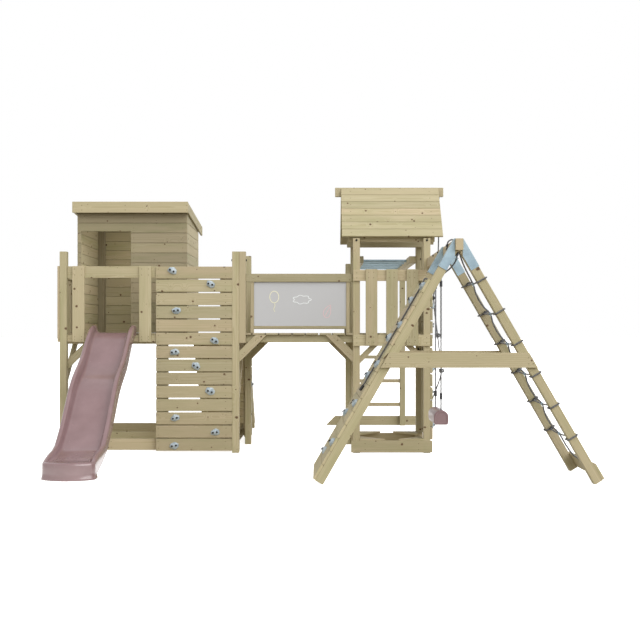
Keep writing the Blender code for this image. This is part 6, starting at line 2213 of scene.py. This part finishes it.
@dataclass
class ClimbingNet:
    """Rope net on the right legs: rungs looped round both legs and one rope down the middle."""

    site: Site
    radius: float = 0.007
    rungs: int = 6
    first: float = 0.413
    pitch: float = 0.288
    inward: float = 0.004
    sag: float = 0.010
    bulge: float = 0.024
    beam_spot: Place = (1.120, -1.780, BEAM_FOOT)
    spacing: float = 0.006
    clear: float = 0.0012

    def build(self) -> None:
        """Make the net with its clamps."""
        ropes = bmesh.new()
        clamps = bmesh.new()
        crossings = bmesh.new()
        front = (FRONT_FRAME_Y, FRONT_FRAME_Y + POST)
        rear = (REAR_FRAME_Y, REAR_FRAME_Y + POST)
        middle = (front[1] + rear[0]) / 2 + 0.0013
        for row in range(self.rungs):
            along = self.first + row * self.pitch
            self.rung(ropes, along, front[1], rear[0])
            for start, end, inward in ((*front, 1), (*rear, -1)):
                around = self.leg_loop(along, start, end)
                merge(ropes, Strand(around, self.radius, sides=14, loop=True).mesh())
                near = end if inward == 1 else start
                self.clamp(clamps, along, near + inward * 0.030)
            merge(clamps, self.ball(leg_point(1, along, rear[0] - 0.020, 0.010), (0.017, 0.017, 0.017)))
            centre = leg_point(1, along, middle, -self.inward) - Z * self.sag
            merge(crossings, self.ball(centre, (0.016, 0.016, 0.012)))
        merge(ropes, Strand(smooth_route(self.spine(middle), self.spacing), self.radius, sides=14).mesh())
        self.site.settle("climbing_net_ropes", ropes, self.site.finishes.rope, "climbing_net",
                         ("climbing_net",), crease=SOFT_CREASE)
        self.site.settle("climbing_net_clamps", clamps, self.site.finishes.nylon, "climbing_net",
                         crease=CAP_CREASE)
        self.site.settle("climbing_net_crossings", crossings, self.site.finishes.steel, "climbing_net",
                         crease=CAP_CREASE)

    def rung(self, ropes: Mesh, along: float, near: float, far: float) -> None:
        """Add one rung, which sags a little between the legs."""
        start = near + self.radius + self.clear
        end = far - self.radius - self.clear
        route = []
        for step in range(9):
            share = step / 8
            route.append(leg_point(1, along, start + (end - start) * share, -self.inward)
                         - Z * (self.sag * math.sin(math.pi * share)))
        merge(ropes, Strand(smooth_route(route, self.spacing), self.radius, sides=14).mesh())

    def leg_loop(self, along: float, y0: float, y1: float) -> list[Vector]:
        """Points of the loop round one leg, with rounded corners."""
        out = POST / 2 + self.radius + self.clear
        near = y0 - self.radius - self.clear
        far = y1 + self.radius + self.clear
        ease = 0.010
        route = []
        for y, off, turn in ((near, -out, 180), (far, -out, 270), (far, out, 0), (near, out, 90)):
            way_y = 1 if y == near else -1
            way_off = 1 if off < 0 else -1
            centre = (y + way_y * ease, off + way_off * ease)
            for step in range(4):
                angle = math.radians(turn + 30 * step)
                route.append((centre[0] + ease * math.cos(angle), centre[1] + ease * math.sin(angle)))
        fine = []
        for a, b in zip(route, [*route[1:], route[0]]):
            run = Vector(b) - Vector(a)
            count = max(1, round(run.length / self.spacing))
            for step in range(count):
                spot = Vector(a) + run * (step / count)
                fine.append(leg_point(1, along, spot.x, spot.y))
        return fine

    def clamp(self, clamps: Mesh, along: float, y: float) -> None:
        """Add a pressed sleeve on a rung beside a leg."""
        base = leg_point(1, along, y - 0.016, -0.006)
        merge(clamps, turned(barrel(self.radius + 0.0035, 0.032), base, Y, 16))

    def ball(self, centre: Vector, reach: Place) -> Mesh:
        """Shape a moulded ball by its reaches up the leg, back and out of it."""
        made = bmesh.new()
        bmesh.ops.create_icosphere(made, subdivisions=3, radius=1.0)
        for vert in made.verts:
            way = vert.co.copy()
            vert.co = (centre + leg_way(1) * (way.x * reach[0]) + Y * (way.y * reach[1])
                       + leg_out(1) * (way.z * reach[2]))
        bmesh.ops.recalc_face_normals(made, faces=made.faces)
        return made

    def spine(self, middle: float) -> list[Vector]:
        """Route of the middle rope, from the foot board to the beam."""
        rows = [self.first + row * self.pitch for row in range(self.rungs)]
        route = [leg_point(1, 0.125, middle, POST / 2 - self.radius), leg_point(1, 0.150, middle, 0.022),
                 leg_point(1, 0.200, middle, 0.002), leg_point(1, 0.290, middle, -0.008)]
        for low, high in zip(rows, rows[1:]):
            for step in range(4):
                share = step / 4
                inward = self.inward + self.bulge * math.sin(math.pi * share)
                route.append(leg_point(1, low + (high - low) * share, middle, -inward) - Z * self.sag)
        route.append(leg_point(1, rows[-1], middle, -self.inward) - Z * self.sag)
        x, y, z = self.beam_spot
        route += [Vector((x + 0.060, middle - 0.150, z - 0.110)), Vector((x, y, z - 0.012)),
                  Vector((x, y, z - GAP))]
        return route


@dataclass
class Swing:
    """Moulded seat on two ropes that turn on the pins of two hangers under the beam."""

    site: Site
    ropes_y: Sequence[float] = (-0.830, -0.450)
    pivot_z: float = 1.800
    seat_foot: float = 0.368
    seat_height: float = 0.131
    seat_length: float = 0.430
    half_width: float = 0.066
    straight: float = 0.072
    rope_radius: float = 0.007
    eye_radius: float = 0.0105
    eye_drop: float = 0.0025

    def build(self) -> None:
        """Make the hangers, the ropes and the seat."""
        for label, y in zip(("front", "rear"), self.ropes_y):
            self.hanger(f"{label}_swing_hanger", y)
            self.rope(f"{label}_swing_rope", y)
        self.seat()

    def hanger(self, name: str, y: float) -> None:
        """Make one hanger: a plate under the beam, two cheeks and a pin."""
        made = bmesh.new()
        top = BEAM_FOOT - GAP
        plan = [(FRAME_X - 0.025, y - 0.020), (FRAME_X + 0.025, y - 0.020), (FRAME_X + 0.025, y + 0.020),
                (FRAME_X - 0.025, y + 0.020)]
        merge(made, plate(plan, Axis.Z, top - 0.004, top, 0.0012))
        foot = self.pivot_z - 0.012
        cheek = [(FRAME_X - 0.012, foot + 0.006), (FRAME_X - 0.006, foot), (FRAME_X + 0.006, foot),
                 (FRAME_X + 0.012, foot + 0.006), (FRAME_X + 0.012, top - 0.003),
                 (FRAME_X - 0.012, top - 0.003)]
        for start in (y - 0.014, y + 0.009):
            merge(made, plate(cheek, Axis.Y, start, start + 0.005, 0.0009))
        pin = [(0.0, 0.0), (0.004, 0.0), (0.004, 0.023), (0.0, 0.023)]
        merge(made, turned(pin, Vector((FRAME_X, y - 0.0115, self.pivot_z)), Y, 16))
        self.site.settle(name + "_plate", made, self.site.finishes.steel, name, (name,),
                         crease=math.radians(30))

    def rope(self, name: str, y: float) -> None:
        """Make one rope with its eye and its two black sleeves."""
        seat_top = self.seat_foot + self.seat_height
        eye_z = self.pivot_z - self.eye_drop
        eye = circle(Vector((FRAME_X, y, eye_z)), Z, X, self.eye_radius, 40)
        ring = Strand(eye, 0.0032, hollow=0.0, sides=12, loop=True).mesh()
        neck = [(0.0, 0.0), (0.0045, 0.0), (0.0055, 0.006), (0.0055, 0.030), (0.0045, 0.036), (0.0035, 0.060),
                (0.0, 0.060)]
        merge(ring, turned(neck, Vector((FRAME_X, y, eye_z - self.eye_radius - 0.0585)), Z, 16))
        self.site.settle(name + "_eye", ring, self.site.finishes.steel, name, body=Body.SWING,
                         crease=math.radians(45))
        low = Vector((FRAME_X, y, seat_top - 0.049))
        high = Vector((FRAME_X, y, self.pivot_z - 0.062))
        path = smooth_route([low, low.lerp(high, 0.5), high], 0.005)
        line = Strand(path, self.rope_radius, sides=16).mesh()
        self.site.settle(name + "_line", line, self.site.finishes.swing_rope, name, (name,), Body.SWING,
                         SOFT_CREASE)
        sleeves = bmesh.new()
        for z in (self.pivot_z - 0.180, seat_top + 0.100):
            profile = [(0.0, 0.0), (0.0105, 0.0), (0.013, 0.003), (0.013, 0.024), (0.0118, 0.0275),
                       (0.013, 0.031), (0.013, 0.052), (0.0105, 0.055), (0.0, 0.055)]
            merge(sleeves, turned(profile, Vector((FRAME_X, y, z)), Z, 18))
        self.site.settle(name + "_sleeves", sleeves, self.site.finishes.nylon, name, body=Body.SWING,
                         crease=CAP_CREASE)

    def seat(self) -> None:
        """Make the seat: an arched, hollow-ended moulding."""
        half = [(0.050, 0.0), (0.060, 0.008), (self.half_width, 0.030), (self.half_width, self.straight)]
        for step in range(1, 13):
            turn = math.radians(7.5 * step)
            half.append((self.half_width * math.cos(turn),
                         self.straight + (self.seat_height - self.straight) * math.sin(turn)))
        outline = [(FRAME_X + x, self.seat_foot + z) for x, z in half]
        outline += [(FRAME_X - x, self.seat_foot + z) for x, z in reversed(half[:-1])]
        middle = sum(self.ropes_y) / 2
        made = pushed(outline, Axis.Y, middle - self.seat_length / 2, middle + self.seat_length / 2)
        rims = [edge for edge in made.edges if abs(edge.verts[0].co.y - edge.verts[1].co.y) < 1e-6]
        soften(made, rims, 0.007, 4)
        for way in (-1, 1):
            end = max(made.faces, key=lambda f: f.normal.y * way * f.calc_area())
            bmesh.ops.inset_region(made, faces=[end], thickness=0.008, depth=0.0)
            bmesh.ops.inset_region(made, faces=[end], thickness=0.0015, depth=-0.005)
        bmesh.ops.recalc_face_normals(made, faces=made.faces)
        self.site.settle("swing_seat_moulding", made, self.site.finishes.seat, "swing_seat", ("swing_seat",),
                         Body.SWING, HARD_CREASE)


def knot(centre: Vector, radius: float, size: float) -> Mesh:
    """Tie a stopper knot round a hanging rope: a trefoil of the same rope, drawn up tight.

    Args:
        centre: Middle of the knot.
        radius: Radius of the rope.
        size: Reach of the knot from its middle.

    Returns:
        The knot's mesh.
    """
    path = []
    wide = 0.6 * (size - radius)
    for step in range(160):
        t = ROUND * step / 160
        reach = wide + (size - radius - wide) * math.cos(3 * t)
        rise = (size - radius - wide) * 1.35 * math.sin(3 * t)
        path.append(centre + Vector((reach * math.cos(2 * t), reach * math.sin(2 * t), rise)))
    return Strand(path, radius, sides=16, loop=True).mesh()


@dataclass
class KnottedRope:
    """Climbing rope that hangs from the end of the ridge beam, with knots and an end cap."""

    site: Site
    radius: float = 0.007
    route: Sequence[Point] = (
        (1.2400, 2.6187), (1.2385, 2.400), (1.2340, 2.080), (1.2160, 1.780), (1.1870, 1.600),
        (1.1880, 1.520), (1.2050, 1.340), (1.2240, 1.190), (1.2450, 1.010), (1.2640, 0.840),
        (1.2620, 0.770), (1.2250, 0.650), (1.1900, 0.560), (1.1660, 0.490), (1.1620, 0.410))
    knots: Sequence[float] = (1.564, 1.179, 0.805)

    def build(self) -> None:
        middle = TOWER_SIZE / 2
        path = smooth_route([(x, middle, z) for x, z in self.route], 0.006)
        rope = self.site.settle("knotted_rope_line", Strand(path, self.radius, turn_every=0.05).mesh(),
                                self.site.finishes.rope, "knotted_rope", ("knotted_rope",),
                                crease=SOFT_CREASE)
        pieces = []
        for number, height in enumerate(self.knots, 1):
            centre = min(path, key=lambda point: abs(point.z - height))
            if number == 1:
                pieces.append(self.stop(centre))
                continue
            made = knot(centre, 0.0085, 0.034)
            pieces.append(self.site.settle(f"knotted_rope_knot_{number}", made, self.site.finishes.rope,
                                           "knotted_rope", crease=SOFT_CREASE))
        way = (path[-1] - path[-6]).normalized()
        cap = [(0.0, 0.0), (0.0105, 0.0), (0.0125, 0.003), (0.0125, 0.046), (0.0090, 0.052), (0.0, 0.052)]
        made = turned(cap, path[-1] + way * 0.001, -way, 20)
        pieces.append(self.site.settle("knotted_rope_cap", made, self.site.finishes.nylon, "knotted_rope",
                                       crease=CAP_CREASE))
        declare_rope(self.site, rope, path, self.radius, pieces)

    def stop(self, centre: Vector) -> bpy.types.Object:
        """Make the moulded ball high on the rope."""
        ball = [(0.0, -0.020)]
        ball += [(0.018 * math.sin(math.radians(15 * step)), -0.020 * math.cos(math.radians(15 * step)))
                 for step in range(1, 12)]
        ball.append((0.0, 0.020))
        return self.site.settle("knotted_rope_ball", turned(ball, centre, Z, 24), self.site.finishes.nylon,
                                "knotted_rope", crease=SOFT_CREASE)


@dataclass
class WallRope:
    """Climbing rope from under the beam, over the top board and down the face of the rock wall."""

    site: Site
    frames: AFrames
    radius: float = 0.007
    y: float = FRONT_FRAME_Y + 0.175

    def path(self) -> list[Vector]:
        """Points of the rope's middle line."""
        top = self.frames.rock_first + self.frames.rock_boards * self.frames.rock_pitch
        rest = POST / 2 + GAP + BOARD + self.radius + 0.001
        y = self.y
        drop = [(FRAME_X + 0.012, y, BEAM_FOOT - GAP), (FRAME_X + 0.010, y, BEAM_FOOT - 0.042),
                (FRAME_X - 0.012, y, 1.762), (FRAME_X - 0.060, y, 1.710), (FRAME_X - 0.135, y, 1.660)]
        drop += [leg_point(-1, along, y, off) for along, off in (
            (top + 0.0095, 0.030), (top + 0.012, 0.053), (top + 0.004, 0.070))]
        lie = [leg_point(-1, along, y, off) for along, off in (
            (top - 0.016, rest + 0.004), (top - 0.040, rest + 0.001), (top - 0.080, rest),
            (top - 0.160, rest), (1.30, rest), (0.870, rest + 0.004), (0.790, rest + 0.007))]
        path = smooth_route([*drop, *lie], 0.006)
        for _ in range(3):
            path = [path[0], *((a + 2 * b + c) / 4 for a, b, c in zip(path, path[1:], path[2:])), path[-1]]
        return path

    def build(self) -> None:
        path = self.path()
        rope = self.site.settle("wall_rope_line", Strand(path, self.radius, turn_every=0.05).mesh(),
                                self.site.finishes.rope, "wall_rope", ("wall_rope",), crease=SOFT_CREASE)
        way = (path[-1] - path[-6]).normalized()
        cap = [(0.0, 0.0), (0.0090, 0.0), (0.0115, 0.003), (0.0115, 0.046), (0.0085, 0.050), (0.0, 0.050)]
        made = turned(cap, path[-1] + way * 0.001, -way, 20)
        plug = [(0.0, 0.0), (0.0125, 0.0), (0.0140, 0.002), (0.0140, 0.022), (0.0105, 0.026), (0.0, 0.026)]
        merge(made, turned(plug, path[0] - Z * 0.0005, -Z, 20))
        piece = self.site.settle("wall_rope_cap", made, self.site.finishes.nylon, "wall_rope",
                                 crease=CAP_CREASE)
        centre = min(path[:20], key=lambda point: abs(point.z - (BEAM_FOOT - 0.046)))
        ring = circle(centre, X, Y, 0.0135, 32)
        made = Strand(ring, 0.004, hollow=0.0, sides=12, loop=True).mesh()
        shackle = self.site.settle("wall_rope_ring", made, self.site.finishes.steel, "wall_rope",
                                   crease=CAP_CREASE)
        declare_rope(self.site, rope, path, self.radius, [piece, shackle])
        self.beam_loop()

    def beam_loop(self) -> None:
        """Make the short rope loop slung over the beam behind, with the three clamps that close it."""
        y = -1.500
        side = BEAM_WIDTH / 2 + self.radius + 0.0015
        arch = BEAM_TOP + 0.034
        foot = BEAM_FOOT - self.radius - 0.0015
        route = [(FRAME_X - side, y, BEAM_FOOT + 0.020), (FRAME_X - side, y, BEAM_TOP - 0.020),
                 (FRAME_X - side + 0.008, y, BEAM_TOP + 0.014), (FRAME_X, y, arch),
                 (FRAME_X + side - 0.008, y, BEAM_TOP + 0.014), (FRAME_X + side, y, BEAM_TOP - 0.020),
                 (FRAME_X + side, y, BEAM_FOOT + 0.020), (FRAME_X + side - 0.010, y, foot + 0.002),
                 (FRAME_X, y, foot), (FRAME_X - side + 0.010, y, foot + 0.002)]
        path = smooth_route([*route, route[0]], 0.006)[:-1]
        self.site.settle("beam_loop_rope", Strand(path, self.radius, sides=14, loop=True).mesh(),
                         self.site.finishes.rope, "wall_rope", crease=SOFT_CREASE)
        clamps = bmesh.new()
        for z in (BEAM_FOOT + 0.004, BEAM_FOOT + 0.036, BEAM_FOOT + 0.068):
            merge(clamps, turned(barrel(0.0115, 0.018), Vector((FRAME_X - side, y, z)), Z, 16))
        self.site.settle("beam_loop_clamps", clamps, self.site.finishes.nylon, "wall_rope",
                         crease=CAP_CREASE)


def declare_rope(site: Site, rope: bpy.types.Object, path: Sequence[Vector], radius: float,
                 pieces: Sequence[bpy.types.Object]) -> None:
    """Declare a climbing rope as a free cord with the pieces on it."""
    places = [tuple(site.at(point)) for point in path]
    length = sum((b - a).length for a, b in zip(path, path[1:]))
    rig.cord(rope, exit=places[0], length=round(length, 2), diameter=2 * radius, far_end="fitting",
            stiffness="medium", lay="hanging", path=places, with_pieces=list(pieces))


class Studio:
    """Camera, floor and light."""

    eye: Place = (0.0, -9.04, 1.20)
    lens: float = 50.85
    lift: float = 13 / 640
    above: str = "#e4e4e4"
    below: str = "#968b70"
    front_glow: float = 0.38
    key_strength: float = 1.75
    key_width: float = math.radians(50)
    key_height: float = math.radians(37)
    key_aside: float = math.radians(42)
    fill_power: float = 3.5
    fill_size: float = 0.30
    fill_place: Place = (-1.62, 0.70, 2.05)
    floor_reach: float = 190.0
    farthest: float = 400.0

    def __init__(self, site: Site) -> None:
        """Keep the site."""
        self.site = site

    def build(self) -> None:
        """Make the camera, the floor, the sky and the lamps."""
        self.camera()
        self.floor()
        self.sky()
        self.lamps()

    def camera(self) -> None:
        """Make a level camera that looks square at the towers' front."""
        data = bpy.data.cameras.new("camera")
        data.lens = self.lens
        data.sensor_width = 36.0
        data.shift_y = self.lift
        data.clip_end = self.farthest
        eye = bpy.data.objects.new("camera", data)
        eye.location = self.site.at(self.eye)
        eye.rotation_euler = (math.radians(90), 0.0, 0.0)
        bpy.context.scene.collection.objects.link(eye)
        bpy.context.scene.camera = eye

    def floor(self) -> None:
        """Make a wide pale floor just under the feet."""
        made, tree, shader, place = new_surface("pale_studio_floor")
        colours = ramp(tree, cloudy(tree, place, 0.4), ((0.0, "#f7f7f6"), (1.0, "#fbfbfb")))
        fill(tree, shader, {"Base Color": colours, "Roughness": 0.95, "Specular IOR Level": 0.0,
                            "Emission Color": linear("#ffffff"), "Emission Strength": 0.8})
        mesh = bmesh.new()
        bmesh.ops.create_grid(mesh, x_segments=8, y_segments=8, size=self.floor_reach)
        data = bpy.data.meshes.new("studio_floor")
        mesh.to_mesh(data)
        mesh.free()
        data.materials.append(made)
        floor = bpy.data.objects.new("studio_floor", data)
        data.transform(Matrix.Translation((0.0, 0.0, -0.001)))
        bpy.context.scene.collection.objects.link(floor)
        # A pale floor this near would light every underside, so it throws no soft light back up.
        floor.visible_diffuse = False
        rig.stage(floor)

    def sky(self) -> None:
        """Make the surround: white round the horizon, brighter in front of the tower, dimmer below."""
        world = bpy.data.worlds.new("studio")
        world.use_nodes = True
        tree = world.node_tree
        way = add(tree, "ShaderNodeTexCoord").outputs["Generated"]
        parts = add(tree, "ShaderNodeSeparateXYZ", links={0: way})
        height = parts.outputs["Z"]
        share = add(tree, "ShaderNodeMapRange", links={"Value": height, "From Min": -1.0}).outputs["Result"]
        shade = ramp(tree, share, ((0.0, self.below), (0.478, self.below), (0.488, "#ffffff"),
                                   (0.70, "#ffffff"), (0.80, self.above)))
        back = tree.nodes["Background"]
        tree.links.new(shade, back.inputs["Color"])
        glow = add(tree, "ShaderNodeMapRange", {"interpolation_type": "SMOOTHSTEP"}, {
            "Value": parts.outputs["Y"], "From Min": 0.0, "From Max": -1.0, "To Min": 1.0,
            "To Max": 1.0 + self.front_glow})
        tree.links.new(glow.outputs["Result"], back.inputs["Strength"])
        bpy.context.scene.world = world
        bpy.context.scene.view_settings.view_transform = "Standard"

    def lamps(self) -> None:
        """Make a wide soft lamp in front and to the right, and a small one inside the playhouse."""
        data = bpy.data.lights.new("key", "SUN")
        data.energy = self.key_strength
        data.angle = self.key_width
        lamp = bpy.data.objects.new("key", data)
        high, aside = self.key_height, self.key_aside
        way = Vector((math.cos(high) * math.sin(aside), -math.cos(high) * math.cos(aside), math.sin(high)))
        lamp.rotation_euler = way.to_track_quat("Z", "Y").to_euler()
        bpy.context.scene.collection.objects.link(lamp)
        small = bpy.data.lights.new("playhouse_fill", "AREA")
        small.energy = self.fill_power
        small.size = self.fill_size
        inside = bpy.data.objects.new("playhouse_fill", small)
        inside.location = self.site.at(self.fill_place)
        inside.rotation_euler = (0.0, math.radians(90), 0.0)
        inside.visible_camera = False
        bpy.context.scene.collection.objects.link(inside)


def main() -> None:
    """Build the play tower round the frame and its studio."""
    logging.basicConfig(level=logging.INFO, format="%(name)s: %(message)s")
    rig.load()
    solid_box = [list(corner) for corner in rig.bounds()]
    site = Site()
    Studio(site).build()
    frames = AFrames(site)
    KnottedRope(site).build()
    WallRope(site, frames).build()
    LeftPlatform(site).build()
    for wall in (front_wall(site), bridge_side_wall(site), tower_side_wall(site)):
        wall.build()
    RearRamp(site).build()
    Playhouse(site).build()
    Slide(site).build()
    Bridge(site).build()
    Tower(site).build()
    MonkeyBars(site).build()
    frames.build()
    ClimbingNet(site).build()
    Swing(site).build()
    with open("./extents.json", "w", encoding="utf-8") as file:
        json.dump({"cad": solid_box, "visual": [list(corner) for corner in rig.bounds()]}, file)


if __name__ == "__main__":
    main()
